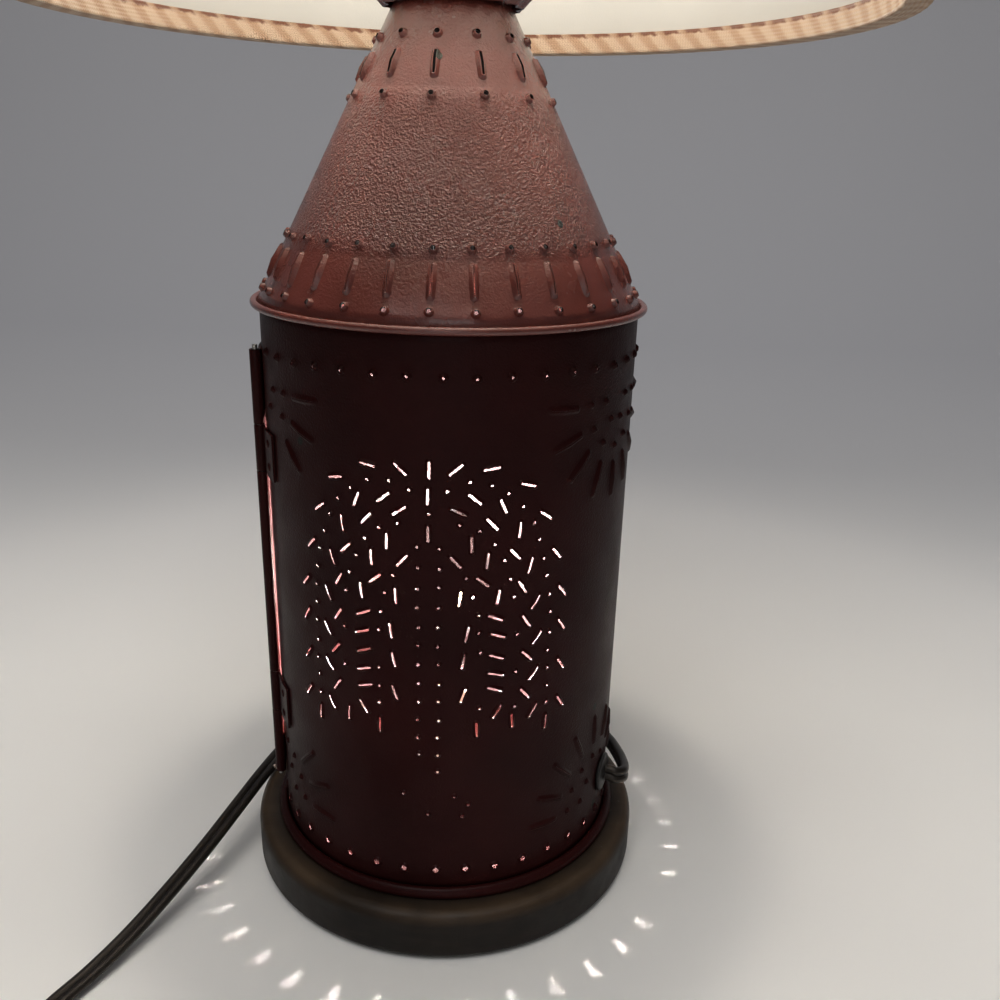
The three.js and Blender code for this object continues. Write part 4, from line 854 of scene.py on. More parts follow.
# Two flanges and a neck, turned on the cord's own axis.
def bushingShell():
    flange, hole, inner = bushing["flange"], bushing["hole"], bushing["inner"]
    seat = bodyRadius + gap
    face = seat + bushing["wall"]
    corners = [(0, inner - bushing["wall"]), (flange, inner - bushing["wall"]), (flange, inner), (hole, inner),
               (hole, seat), (flange, seat), (flange - 0.4, face - 0.5), (bushing["crown"], face), (0, face)]
    points, faces = turned(softCorners(corners, [0, 0.4, 0.4, 0, 0, 0.4, 0.6, 0.8, 0]), 40)
    side = np.cross(outward, (0, 0, 1))
    place = points[:, :1] * side + points[:, 1:2] * upright + points[:, 2:] * outward
    return place + cordExit["height"] * upright, faces


addPiece("cordBushing", bushingShell(), "lamp", ["blackPlastic"], ["cord_bushing"])
print("plug, tie and bushing made")

# Punched marks: the points of a lip's ring, the rings' shares of the way from lip to slit and of the lift, and limits
punch = {
    "sides": 12,
    "shares": (-0.14, 0, 0.4, 0.76, 1.0),
    "rises": (0, 0.02, 0.55, 0.94, 1.0),
    "belly": 0.4,  # how much lower a long lip is at its ends
    "near": 16.0,  # marks further apart than this can't touch
    "clear": 0.3,  # share of the sheet's step that is kept free round a mark
}


# Rows of arc, height, lean of the top to the right, length, slit's half width, lip's half width, lift.
def marks(arc, height, lean, length, slit, lip, lift):
    rows = np.broadcast_arrays(arc, height, lean, length, slit, lip, lift)
    return np.stack([np.asarray(row, float).ravel() for row in rows], -1)


# Marks that stay clear of those before them, measured between points along each slit.
def clearMarks(rows, margin):
    share = np.linspace(-1, 1, 7)[None, :]
    reach = np.maximum(rows[:, 3:4] / 2 - rows[:, 4:5], 0) * share
    lean = np.radians(rows[:, 2:3])
    dots = np.stack([rows[:, :1] + reach * np.sin(lean), rows[:, 1:2] + reach * np.cos(lean)], -1)
    kept = []
    for index, row in enumerate(rows):
        near = [i for i in kept if np.abs(rows[i, :2] - row[:2]).max() < punch["near"]]
        between = [np.linalg.norm(dots[index][:, None] - dots[i][None], axis=-1).min() for i in near]
        apart = [distance - row[5] - rows[i, 5] for distance, i in zip(between, near)]
        if not apart or min(apart) > margin:
            kept.append(index)
    return rows[kept]


# Punched sheet: the flat sheet is filled with triangles round the marks, whose lips rise in rings to their slits.
# The first ring lies flat just outside the lip, which keeps the sheet's shading flat up to each mark.
# Ring point: along = r cos(a) + h clip(2 cos(a), -1, 1), across = r sin(a), with r from lip to slit.
def punchedSheet(width, height, rows, place, stretchAt, openings, step):
    sides, margin = punch["sides"], punch["clear"] * step
    angle = circle(sides)
    share, rise = (np.array(punch[key])[None, :, None] for key in ("shares", "rises"))
    arc, level, lean, length, slit, lip, lift = (rows[:, i][:, None, None] for i in range(7))
    half = np.maximum(length / 2 - slit, 0)
    radius = lip + (slit - lip) * share
    along = radius * np.cos(angle) + half * np.clip(2 * np.cos(angle), -1, 1)
    across = radius * np.sin(angle)
    lens = 1 - punch["belly"] * (along * half / (half + radius) ** 2) ** 2
    lean = np.radians(lean)
    ringLevel = level + along * np.cos(lean) - across * np.sin(lean)
    ringArc = arc + (along * np.sin(lean) + across * np.cos(lean)) * stretchAt(ringLevel)
    ringLift = lift * rise * lens * np.ones_like(along)
    base = np.stack([ringArc[:, 0], ringLevel[:, 0]], -1).reshape(-1, 2)
    count = len(rows)
    labels = [np.repeat(np.arange(count), sides)]
    points = [base]
    ringIds = np.arange(count * sides).reshape(count, sides)
    edges = [np.stack([ringIds, np.roll(ringIds, -1, 1)], -1).reshape(-1, 2)]
    start = len(base)
    for number, outline in enumerate(openings):
        ids = start + np.arange(len(outline))
        points.append(np.asarray(outline))
        labels.append(np.full(len(outline), count + number))
        edges.append(np.stack([ids, np.roll(ids, -1)], -1))
        start += len(outline)
    across = np.linspace(-width / 2, width / 2, round(width / step) + 1)
    up = np.linspace(0, height, round(height / step) + 1)
    grid = np.stack(np.meshgrid(across, up, indexing="ij"), -1)
    rim = np.zeros(grid.shape[:2], bool)
    rim[[0, -1], :] = True
    rim[:, [0, -1]] = True
    inner, border = grid[~rim], grid[rim]
    tips = half[:, 0] * np.linspace(-1, 1, 5)
    spineArc = arc[:, 0] + tips * np.sin(lean[:, 0]) * stretchAt(level[:, 0])
    spine = np.stack([spineArc, level[:, 0] + tips * np.cos(lean[:, 0])], -1)
    scale = np.stack([1 / stretchAt(inner[:, 1]), np.ones(len(inner))], -1)
    free = np.ones(len(inner), bool)
    for part in np.array_split(np.arange(len(inner)), 12):  # in parts, to save memory
        away = np.linalg.norm((inner[part, None, None] - spine[None]) * scale[part, None, None], axis=-1)
        free[part] = (away - rows[None, :, 5:6]).min((1, 2)) > margin
    for outline in openings:
        free &= ~((inner > outline.min(0) - margin) & (inner < outline.max(0) + margin)).all(1)
    points += [border, inner[free]]
    labels.append(np.full(len(border) + int(free.sum()), -1))
    flat, label = np.vstack(points), np.concatenate(labels)
    made = delaunay_2d_cdt([Vector(p) for p in flat], np.vstack(edges).tolist(), [], 0, 1e-5)
    source = np.array([own[0] if own else -1 for own in made[3]])
    triangles = source[np.array(made[2])]
    same = label[triangles]
    inMark = (same[:, 0] == same[:, 1]) & (same[:, 1] == same[:, 2]) & (same[:, 0] >= 0)
    filled = ~inMark & (triangles >= 0).all(1)
    raised = share.size - 1  # rings above the first
    upper = np.arange(count * raised * sides).reshape(count, raised, sides) + len(flat)
    rings = np.concatenate([ringIds[:, None], upper], 1)
    turnedOn = np.roll(rings, -1, 2)
    lips = np.stack([rings[:, :-1], rings[:, 1:], turnedOn[:, 1:], turnedOn[:, :-1]], -1).reshape(-1, 4)
    lifted = place(ringArc[:, 1:].ravel(), ringLevel[:, 1:].ravel(), ringLift[:, 1:].ravel())
    shell = np.vstack([place(flat[:, 0], flat[:, 1], np.zeros(len(flat))), lifted])
    return shell, triangles[filled].tolist() + lips.tolist()


# An outline's corners with points added along its sides.
def stepped(corners, step):
    corners = np.asarray(corners, float)
    runs = []
    for a, b in zip(corners, np.roll(corners, -1, 0)):
        count = max(1, round(np.linalg.norm(b - a) / step))
        runs.append(a + (b - a) * np.linspace(0, 1, count, endpoint=False)[:, None])
    return np.vstack(runs)


# Willow tree: strands droop as a quarter of a rounded square and then hang, with dots along them and leaves beside.
willow = {
    "strands": 3,
    "width": 16.5,
    "widthStep": 12.0,
    "topRise": 123.7,
    "topStep": 13.5,
    "kneeRise": 89.7,
    "footRise": 68.0,
    "curve": 0.8,
    "dotStep": 6.65,
    "leafLength": 5.3,
    "trunkHalfGap": 3.2,
    "trunkRise": 129.7,
    "trunkDots": 13,
    "slit": 0.43,
    "lip": 1.3,
    "lift": 0.85,
    "dot": 0.55,
    "dotLip": 1.2,
    "dotLift": 0.8,  # share of the slits' lift
    "dotStart": 0.3,  # share of a step before the first dot
    "crownDots": [(5.5, 147.7), (0, 140.5)],
    "rootDots": [(-8.7, 40.2), (0, 32.7), (8.7, 40.4), (11.5, 32.2), (13.2, 36.7), (3.8, 50.7)],
}

# Leaves on one side of the trunk: distance from it, height above the body's foot and lean of the tip outwards
treeLeaves = np.array([
    [0, 154.3, 0], [0, 146.5, 4], [0, 134.6, 4], [18.6, 154.7, 85], [8.3, 154.4, 46],
    [30.4, 148.9, -74], [22.6, 143.1, -24], [14.1, 145.2, -46], [37.2, 137.9, -52], [8.8, 141.2, -60],
    [19.2, 137.6, -42], [28.3, 134.8, 7], [12.9, 131, 0], [41.8, 124.6, -42], [27.2, 126.8, -46],
    [18.1, 125.3, 8], [32.6, 121.9, 18], [8.1, 125.3, -46], [45, 110.8, -38], [29.9, 115.2, -34],
    [16.6, 118.4, -48], [21.7, 113.2, 6], [34.6, 109.4, 30], [10, 113, 2], [45.4, 98.7, -36],
    [31.2, 102.9, -36], [20.9, 106, -68], [35.4, 96.5, 36], [22.1, 99.2, -68], [12.2, 101.2, 12],
    [45.8, 83.9, -37], [32.4, 90.3, -42], [21.5, 92.2, -68], [35.2, 83.3, 37], [21.9, 85.7, -73],
    [11, 91.1, 12], [46.3, 69.8, -34], [32.3, 77.1, -38], [21.5, 79.9, -74], [35.2, 69.5, 31],
    [22.1, 72, 29], [11.2, 78.7, 17], [40.5, 63.6, 2], [28, 67.8, -2], [15.9, 66, 1],
])


# A strand's line and the distance run along it.
def strandPath(index):
    width = willow["width"] + willow["widthStep"] * index
    top = bodyFoot + willow["topRise"] + willow["topStep"] * index
    knee = bodyFoot + willow["kneeRise"]
    angle = np.linspace(0, np.pi / 2, 60)
    across = width / 4 + 0.75 * width * np.sin(angle) ** willow["curve"]
    up = knee + (top - knee) * np.cos(angle).clip(0) ** willow["curve"]
    line = np.vstack([np.stack([across, up], -1), [width, bodyFoot + willow["footRise"]]])
    run = np.concatenate([[0], np.cumsum(np.linalg.norm(np.diff(line, axis=0), axis=1))])
    return line, run


# Leaves as slits; dots of the strands, trunk, crown and roots.
def treeMarks():
    dots, step = [], willow["dotStep"]
    for index in range(willow["strands"]):
        line, run = strandPath(index)
        along = np.arange(willow["dotStart"], run[-1] / step) * step
        dots.append(np.stack([np.interp(along, run, column) for column in line.T], -1))
    dots = np.vstack([*dots, np.array(willow["crownDots"]) + [0, bodyFoot]])
    dots = np.vstack([dots, dots[dots[:, 0] > 0] * [-1, 1]])
    trunk = bodyFoot + willow["trunkRise"] - step * np.arange(willow["trunkDots"])
    right, left = (np.stack([np.full(len(trunk), side * willow["trunkHalfGap"]), trunk], -1) for side in (1, -1))
    dots = np.vstack([right, left[:-1], dots, np.array(willow["rootDots"]) + [0, bodyFoot]])
    leaves = np.vstack([treeLeaves, treeLeaves[treeLeaves[:, 0] > 0] * [-1, 1, -1]]) + [0, bodyFoot, 0]
    slits = marks(*leaves.T, willow["leafLength"], willow["slit"], willow["lip"], willow["lift"])
    return slits, marks(*dots.T, 0, 0, willow["dot"], willow["dotLip"], willow["lift"] * willow["dotLift"])


# Half suns in the corners, and the rows of dots round the top and the bottom
suns = {
    "arc": 69.5,
    "lowRise": 20.7,
    "highDrop": 25.5,
    "rays": 9,
    "rayStart": 22.0,
    "rayLength": 10.0,
    "rayShape": (0.04, 1.45, 1.15),  # slit, lip and lift, as for the dots
    "dotShape": (0.3, 1.3, 0.9),
    "dotRings": [(15.5, 7), (7.5, 4)],  # radius and dots
}
dotRows = [
    {"rise": 181.7, "count": 39, "start": 4.0, "hole": 0.5, "lip": 1.6, "lift": 1.05},
    {"rise": 9.9, "count": 38, "start": 2.3, "hole": 1.05, "lip": 1.85, "lift": 0.8},
]


# Rays on a half circle that opens to the body's middle: reach cos(a) across and reach sin(a) down or up.
def sunMarks():
    rays, dots = [], []
    reach = suns["rayStart"] + suns["rayLength"] / 2
    for side, up in ((1, 1), (1, -1), (-1, 1), (-1, -1)):
        arc, middle = side * suns["arc"], bodyTop - suns["highDrop"] if up > 0 else bodyFoot + suns["lowRise"]
        angle = np.linspace(0, np.pi, suns["rays"])
        lean = -(90 - np.degrees(angle)) * up
        rays.append(np.stack([arc + reach * np.cos(angle), middle - up * reach * np.sin(angle), lean], -1))
        for radius, spots in suns["dotRings"]:
            angle = np.linspace(0, np.pi, spots)
            dots.append(np.stack([arc + radius * np.cos(angle), middle - up * radius * np.sin(angle)], -1))
    slits = marks(*np.vstack(rays).T, suns["rayLength"], *suns["rayShape"])
    return slits, marks(*np.vstack(dots).T, 0, 0, *suns["dotShape"])


# A row of dots all the way round.
def rowMarks(row):
    turn = 2 * np.pi * bodyRadius
    arc = (row["start"] + turn * np.arange(row["count"]) / row["count"] + turn / 2) % turn - turn / 2
    return marks(arc, bodyFoot + row["rise"], 0, 0, row["hole"], row["lip"], row["lift"])


# Lantern body: a punched cylinder with the door's opening and the cord's hole
lantern = {
    "wall": 0.45,
    "step": 4.2,
    "openingAzimuths": (-154.13, -70.85),
    "openingRises": (34.2, 156.2),
    "doorAzimuths": (-163.0, -69.0),
    "doorRises": (16.0, 181.0),
    "strapAzimuths": (-74.0, -56.0),
    "strapRises": [(42.5, 63.0), (136.5, 157.0)],
    "jitter": (0.35, 0.35, 5.0),  # millimetres and degrees
    "cordHole": 6.0,
    # how far marks stay from the door, straps, bushing, seam and each other
    "doorMargin": 3.5,
    "strapMargin": 4.0,
    "bushingMargin": 3.0,
    "seamMargin": 3.0,
    "markMargin": 0.4,
}


# Marks within a box of azimuths and rises.
def inBox(rows, azimuths, rises, margin):
    low, high = np.stack([np.radians(azimuths) * bodyRadius, np.add(rises, bodyFoot)], -1)
    return ((rows[:, :2] > low - margin) & (rows[:, :2] < high + margin)).all(1)


# All of the body's marks, each a little off its place, less those that the door and fittings cover.
def bodyMarks():
    slits, dots = treeMarks()
    rays, sunDots = sunMarks()
    rows = np.vstack([slits, rays, *(rowMarks(row) for row in dotRows), dots, sunDots])
    rows[:, :3] += rng.uniform(-1, 1, (len(rows), 3)) * lantern["jitter"]
    blocked = inBox(rows, lantern["doorAzimuths"], lantern["doorRises"], lantern["doorMargin"])
    for rises in lantern["strapRises"]:
        blocked |= inBox(rows, lantern["strapAzimuths"], rises, lantern["strapMargin"])
    fromHole = np.linalg.norm(rows[:, :2] - holeSpot - [0, bodyFoot], axis=1) - rows[:, 3] / 2
    blocked |= fromHole < bushing["flange"] + lantern["bushingMargin"]
    blocked |= np.abs(rows[:, 0]) > np.pi * bodyRadius - lantern["seamMargin"]
    rows = rows[~blocked]
    rows[:, 1] -= bodyFoot
    return clearMarks(rows, lantern["markMargin"])


# A flat sheet's point rolled onto the cylinder: its arc over the radius is the azimuth.
def onBody(arc, level, lift):
    return polar(np.degrees(arc / bodyRadius), bodyRadius + lift, bodyFoot + level)


doorway = np.radians(lantern["openingAzimuths"]) * bodyRadius
doorwayCorners = [(doorway[i], lantern["openingRises"][j]) for i, j in ((0, 0), (1, 0), (1, 1), (0, 1))]
holeSpot = np.array([np.radians(cordExit["azimuth"]) * bodyRadius, cordExit["height"] - bodyFoot])
bodyOpenings = [stepped(doorwayCorners, lantern["step"]), holeSpot + roundSection(lantern["cordHole"], 28)]
bodyRows = bodyMarks()
bodyShell = punchedSheet(2 * np.pi * bodyRadius, bodyTop - bodyFoot, bodyRows, onBody, np.ones_like,
                         bodyOpenings, lantern["step"])
punchedBody = addPiece("punchedBody", bodyShell, "lamp", ["redTin", "tinInside"], ["lantern_body"],
                       sharp=40, closed=False)
giveWall(punchedBody, lantern["wall"], 1)
print("lantern body punched with", len(bodyRows), "marks")

# Hood: a punched cone, and the rolled bead, collar and top plate that finish it
hoodHigh = span("cone_hood")[1]
hood = {
    "foot": bodyTop + gap,
    "top": hoodHigh[2] - 0.8,
    "footRadius": bodyRadius + 0.1,
    "topRadius": 17.4,
    "bead": 1.2,
    "beadDrop": 1.0,
    "flare": 0.2,
    "collarDepth": 10.0,
    "collarWall": 0.8,
    "pipeHole": 5.1,
    "wall": 0.5,
    "step": 4.0,
    "slitShape": (1.5, 1.6),  # lip and lift
    "dotShape": (0.78, 1.55, 1.35),  # hole, lip and lift
    "jitter": (0.3, 0.3, 2.5),  # millimetres and degrees
    "seam": 174,  # degrees; a mark at the back belongs to the sheet's right end
    "bands": [
        {"count": 30, "start": 0.0, "rise": 11.8, "slit": 7.8, "open": 0.1, "dotRises": (3.6, 20.1)},
        {"count": 13, "start": -4.9, "rise": 69.5, "slit": 6.4, "open": 0.4, "dotRises": (61.1, 77.7)},
    ],
}
hoodHeight, hoodFall = hood["top"] - hood["foot"], hood["footRadius"] - hood["topRadius"]
hoodSlant = math.hypot(hoodHeight, hoodFall)
hoodStart = -0.9  # the sheet runs on below its seat, to the bead


# The cone's radius at a distance up its slope.
def hoodRadius(level):
    return hood["footRadius"] - hoodFall * level / hoodSlant


# A flat sheet's point on the cone: arcs shrink with the radius, lift is square to the slope.
def onHood(arc, level, lift):
    radius = hoodRadius(level + hoodStart) + lift * hoodHeight / hoodSlant
    height = hood["foot"] + (level + hoodStart) * hoodHeight / hoodSlant + lift * hoodFall / hoodSlant
    return polar(np.degrees(arc / hood["footRadius"]), radius, height)


# Two bands of upright slits, each between two rows of dots.
def hoodMarks():
    rows = []
    perRise = hoodSlant / hoodHeight
    for band in hood["bands"]:
        spread = band["start"] + 360 * np.arange(band["count"]) / band["count"]
        arc = np.radians((spread + hood["seam"]) % 360 - hood["seam"]) * hood["footRadius"]
        slitLength = band["slit"] * perRise
        rows.append(marks(arc, band["rise"] * perRise, 0, slitLength, band["open"], *hood["slitShape"]))
        rows += [marks(arc, rise * perRise, 0, 0, *hood["dotShape"]) for rise in band["dotRises"]]
    rows = np.vstack(rows)
    rows[:, :3] += rng.uniform(-1, 1, (len(rows), 3)) * hood["jitter"]
    rows[:, 1] -= hoodStart
    return rows


hoodShell = punchedSheet(2 * np.pi * hood["footRadius"], hoodSlant - hoodStart, hoodMarks(), onHood,
                         lambda level: hood["footRadius"] / hoodRadius(level + hoodStart), [], hood["step"])
punchedHood = addPiece("punchedHood", hoodShell, "lamp", ["redHoodLit", "hoodInsidePaintedShade"], ["cone_hood"],
                       sharp=40, closed=False)
# The wall's inner side and cut edges take the near-black painted shade
giveWall(punchedHood, hood["wall"], 1, 1)


# Turned profiles: a round bead, a sleeve inside the body's top and a plate that closes the cone.
def hoodRimShell():
    foot, top, bead, edge, wall = (hood[key] for key in ("foot", "top", "bead", "topRadius", "collarWall"))
    roll = roundSection(bead, 24) + [bodyRadius + gap + hood["flare"] + bead, foot - hood["beadDrop"]]
    collar, low = bodyRadius - wall - gap, foot - hood["collarDepth"]
    sleeve = [(collar - wall, low), (collar, low), (collar, foot), (collar - wall, foot + 1.5)]
    plate = [(hood["pipeHole"], top), (edge - wall, top), (edge, top - 1.0), (edge + 0.35, top - 0.2),
             (edge - 0.3, top + wall), (hood["pipeHole"], top + wall)]
    return joinShells(turned(roll, 144), turned(sleeve, 96), turned(plate, 96))


addPiece("hoodRim", hoodRimShell(), "lamp", ["redHoodLit"], sharp=50)

# Crimped cap: flutes fade in from the flat lid to the skirt, which narrows downwards
cap = {"flutes": 16, "depth": 0.9, "dip": 0.25, "fluteSteps": 12}


# Turned rows of (radius, height, share of the flutes): radius + share depth cos(flutes a), dipping between flutes.
def capShell():
    _, low, high = turnedSize("crimped_cap")
    hole = hood["pipeHole"]
    rows = np.array([(hole, high, 0), (14, high, 0), (19.5, high, 0.05), (22.4, high - 0.1, 0.4),
                     (23.7, high - 0.35, 0.9), (24.05, high - 0.8, 1), (21.4, low + 0.35, 0.9), (21.1, low, 0.9),
                     (20.5, low + 0.05, 0.9), (23.0, high - 1.2, 0.9), (21.5, high - 0.95, 0.4),
                     (18, high - 0.8, 0), (hole, high - 0.8, 0)])
    angle = circle(cap["flutes"] * cap["fluteSteps"])
    wave = cap["depth"] * np.cos(cap["flutes"] * angle)
    radius = rows[:, :1] + rows[:, 2:] * wave
    height = rows[:, 1:2] + cap["dip"] * rows[:, 2:] * (wave / cap["depth"] - 1) * (rows[:, 1:2] > low + 1)
    points = np.stack([radius * np.cos(angle), radius * np.sin(angle), height], -1)
    return points.reshape(-1, 3), gridFaces(len(rows), len(angle), True, True)


addPiece("crimpedCap", capShell(), "lamp", ["redHoodLit"], ["crimped_cap"], sharp=60)
print("hood and cap made")


# Base: felt, turned wood and the tin pan's rolled rim, as corners of (radius, height) that are made soft
def woodShell():
    r, low, high = turnedSize("wood_base")
    corners = [(0, low), (r - 1.2, low), (r, low + 1.2), (r, high - 3.4), (r - 1.0, high - 1.1),
               (r - 3.2, high), (0, high)]
    return turned(softCorners(corners, [0, 0.8, 1.0, 1.2, 1.2, 1.2, 0], 5), 180)


# The pan stands on the wood, with the body inside its rim.
def panShell():
    low, inner = turnedSize("wood_base")[2], bodyRadius + gap
    out, _, high = turnedSize("bottom_pan")
    corners = [(0, low), (out - 0.7, low), (out, low + 1.2), (out - 0.3, high - 1.4), (out - 1.5, high),
               (inner + 0.55, high - 0.1), (inner, high - 0.9), (inner, low + 0.8), (0, low + 0.8)]
    return turned(softCorners(corners, [0, 0.6, 0.8, 0.8, 0.8, 0.4, 0.4, 0.3, 0], 4), 180)


# A disc with soft edges.
def feltShell():
    out, _, high = turnedSize("felt_pad")
    return turned(softCorners([(0, 0), (out, 0), (out, high), (0, high)], [0, 0.4, 0.4, 0]), 120)


addPiece("feltPad", feltShell(), "lamp", ["felt"], ["felt_pad"])
addPiece("woodBase", woodShell(), "lamp", ["darkWood"], ["wood_base"])
addPiece("tinPan", panShell(), "lamp", ["redTin"], ["bottom_pan"])
print("base made")

# Door: a curved sheet with a pressed bead, rolled into knuckles round the hinge wire between the straps
door = {
    "hingeAzimuth": -72.0,
    "freeAzimuth": -160.0,
    "wall": 0.8,
    "barrel": 1.9,
    "bore": 1.2,
    "strapHeight": 16.0,
    "strapRises": (44.7, 138.7),
    "strapReach": 14.0,
    "beadInset": 14.0,
    "beadLift": 0.7,
    "beadWidth": 1.5,
    "beadCorner": 9.0,
    "wire": 0.9,
    "rivet": 1.5,
    "rivetAside": 9.5,
    "rivetInset": 4.0,
}
doorLow, doorHigh = span("door_panel")
doorInner = bodyRadius + gap
hingeSpot = polar(door["hingeAzimuth"], doorInner + door["barrel"], 0.0)


# Curved plate between two radii: an outer and an inner grid over azimuth and height, closed round its edges.
def curvedPlate(azimuths, heights, inner, outer):
    azimuth, height = np.meshgrid(azimuths, heights, indexing="ij")
    rows, cols = azimuth.shape
    points = np.concatenate([polar(azimuth, radius, height).reshape(-1, 3) for radius in (outer, inner)])
    faces = gridFaces(rows, cols)
    faces += [[corner + rows * cols for corner in face[::-1]] for face in faces]
    edge = np.concatenate([np.arange(cols), np.arange(1, rows) * cols + cols - 1,
                           (rows - 1) * cols + np.arange(cols - 2, -1, -1), np.arange(rows - 2, 0, -1) * cols])
    ahead = np.roll(edge, -1)
    return points, faces + np.stack([edge, edge + rows * cols, ahead + rows * cols, ahead], -1).tolist()


# Bead lift: a bell over the distance from a rectangle with round corners.
def doorShell():
    azimuths = np.linspace(door["freeAzimuth"], door["hingeAzimuth"] - 0.6, 97)
    heights = np.linspace(doorLow[2], doorHigh[2], 121)
    arc = np.radians(azimuths - (door["freeAzimuth"] + door["hingeAzimuth"]) / 2) * doorInner
    size = np.array([np.abs(arc[0]), (doorHigh[2] - doorLow[2]) / 2]) - door["beadInset"] - door["beadCorner"]
    offset = np.stack(np.meshgrid(np.abs(arc) - size[0], np.abs(heights - heights.mean()) - size[1], indexing="ij"), -1)
    outside = np.linalg.norm(np.maximum(offset, 0), axis=-1) + np.minimum(offset.max(-1), 0)
    bead = door["beadLift"] * np.exp(-(((outside - door["beadCorner"]) / door["beadWidth"]) ** 2))
    shells = [curvedPlate(azimuths, heights, doorInner + bead, doorInner + door["wall"] + bead)]
    edges = [doorLow[2]]
    for rise in door["strapRises"]:
        edges += [bodyFoot + rise - gap, bodyFoot + rise + door["strapHeight"] + gap]
    edges.append(doorHigh[2])
    for low, high in zip(edges[::2], edges[1::2]):
        shells.append(knuckle(low, high))
    made = joinShells(*shells)
    quads = (len(azimuths) - 1) * (len(heights) - 1)
    slots = np.zeros(len(made[1]), int)
    slots[quads:2 * quads] = 1
    return made, slots


# One knuckle of the hinge: a short tube round the wire.
def knuckle(low, high):
    bore, barrel = door["bore"], door["barrel"]
    profile = softCorners([(bore, low), (barrel, low), (barrel, high), (bore, high)], 0.2, 2)
    return turned(profile, 28, centre=hingeSpot[:2])


rivetSink = 0.05  # a head's foot is just below the sheet's face


# Domed rivet heads at places on a cylinder.
def rivets(azimuths, heights, radius, size):
    angle, tilt = circle(14), np.linspace(0, np.pi / 2, 5)[:, None]
    ring, lift = size * np.cos(tilt), 0.45 * size * np.sin(tilt)
    dome = np.stack(np.broadcast_arrays(ring * np.cos(angle), ring * np.sin(angle), lift), -1)
    shells = []
    for azimuth, height in zip(azimuths, heights):
        out, side = polar(azimuth, 1.0, 0.0), polar(azimuth + 90, 1.0, 0.0)
        at = out * radius + height * upright
        points = at + dome[..., :1] * side + dome[..., 1:2] * upright + dome[..., 2:] * out
        shells.append((points.reshape(-1, 3), gridFaces(5, 14, False, True) + [list(range(14))]))
    return joinShells(*shells)


doorMade, doorSlots = doorShell()
addPiece("doorSheet", doorMade, "door", ["redTin", "redInside"], ["door_panel"],
         faceSlots=doorSlots, sharp=45)
_, wireFoot, wireTop = turnedSize("hinge_wire")
wireCorners = [(0, wireFoot), (door["wire"], wireFoot), (door["wire"], wireTop), (0, wireTop)]
wireProfile = softCorners(wireCorners, [0, 0.3, 0.3, 0])
addPiece("hingeWire", turned(wireProfile, 16, centre=hingeSpot[:2]), "lamp", ["steel"], ["hinge_wire"])
for label, rise in zip(("lower", "upper"), door["strapRises"]):
    low, high = bodyFoot + rise, bodyFoot + rise + door["strapHeight"]
    leaf = curvedPlate(np.linspace(door["hingeAzimuth"] + 0.8, door["hingeAzimuth"] + door["strapReach"], 15),
                       np.linspace(low, high, 9), doorInner, doorInner + door["wall"])
    heads = rivets(np.full(2, door["hingeAzimuth"] + door["rivetAside"]),
                   [low + door["rivetInset"], high - door["rivetInset"]],
                   doorInner + door["wall"] - rivetSink, door["rivet"])
    strap = joinShells(leaf, knuckle(low, high), heads)
    addPiece(f"{label}Strap", strap, "lamp", ["redTin"], [f"hinge_strap_{label}"], sharp=45)

# Hasp with its slot, and the wire staple that it drops over
hasp = {
    "azimuths": (-175.22, -150.0),
    "slotAzimuths": (-171.72, -163.74),
    "slotHalf": 4.4,
    "wall": 0.8,
    "end": 3.5,
    "rivet": 1.4,
    "rivetAzimuth": -152.6,
    "rivetInset": 3.5,
}
_, haspFoot, haspTop = turnedSize("door_hasp")
haspMiddle = (haspFoot + haspTop) / 2
haspInner = doorInner + door["wall"] + gap


# A flat plate with a slot, filled with triangles and rolled round the door.
def haspShell():
    toArc = math.radians(1) * haspInner
    middle = sum(hasp["azimuths"]) / 2
    half = np.array([(hasp["azimuths"][1] - middle) * toArc, (haspTop - haspFoot) / 2])
    corners = np.array([(-1, -1), (1, -1), (1, 1), (-1, 1)])
    outline = stepped(softCorners(corners * half, hasp["end"], 5), 1.2)
    slot = (np.array(hasp["slotAzimuths"]) - middle) * toArc
    slotHalf = np.array([(slot[1] - slot[0]) / 2, hasp["slotHalf"]])
    hole = stepped(softCorners(corners * slotHalf, 1.2, 3), 1.2) + [slot.mean(), 0]
    ids = [np.arange(len(outline)), len(outline) + np.arange(len(hole))]
    edges = np.vstack([np.stack([own, np.roll(own, -1)], -1) for own in ids])
    flat = np.vstack([outline, hole])
    made = delaunay_2d_cdt([Vector(p) for p in flat], edges.tolist(), [], 0, 1e-6)
    triangles = np.array([own[0] for own in made[3]])[np.array(made[2])]
    faces = triangles[~(triangles >= len(outline)).all(1)]
    return polar(middle + flat[:, 0] / toArc, haspInner + hasp["wall"], haspMiddle + flat[:, 1]), faces.tolist()


doorHasp = addPiece("doorHasp", haspShell(), "door", ["redTin"], ["door_hasp"], closed=False)
giveWall(doorHasp, hasp["wall"])
haspRivets = rivets([hasp["rivetAzimuth"]] * 2, [haspFoot + hasp["rivetInset"], haspTop - hasp["rivetInset"]],
                    haspInner + hasp["wall"] - rivetSink, hasp["rivet"])
addPiece("haspRivets", haspRivets, "door", ["redTin"], sharp=60)

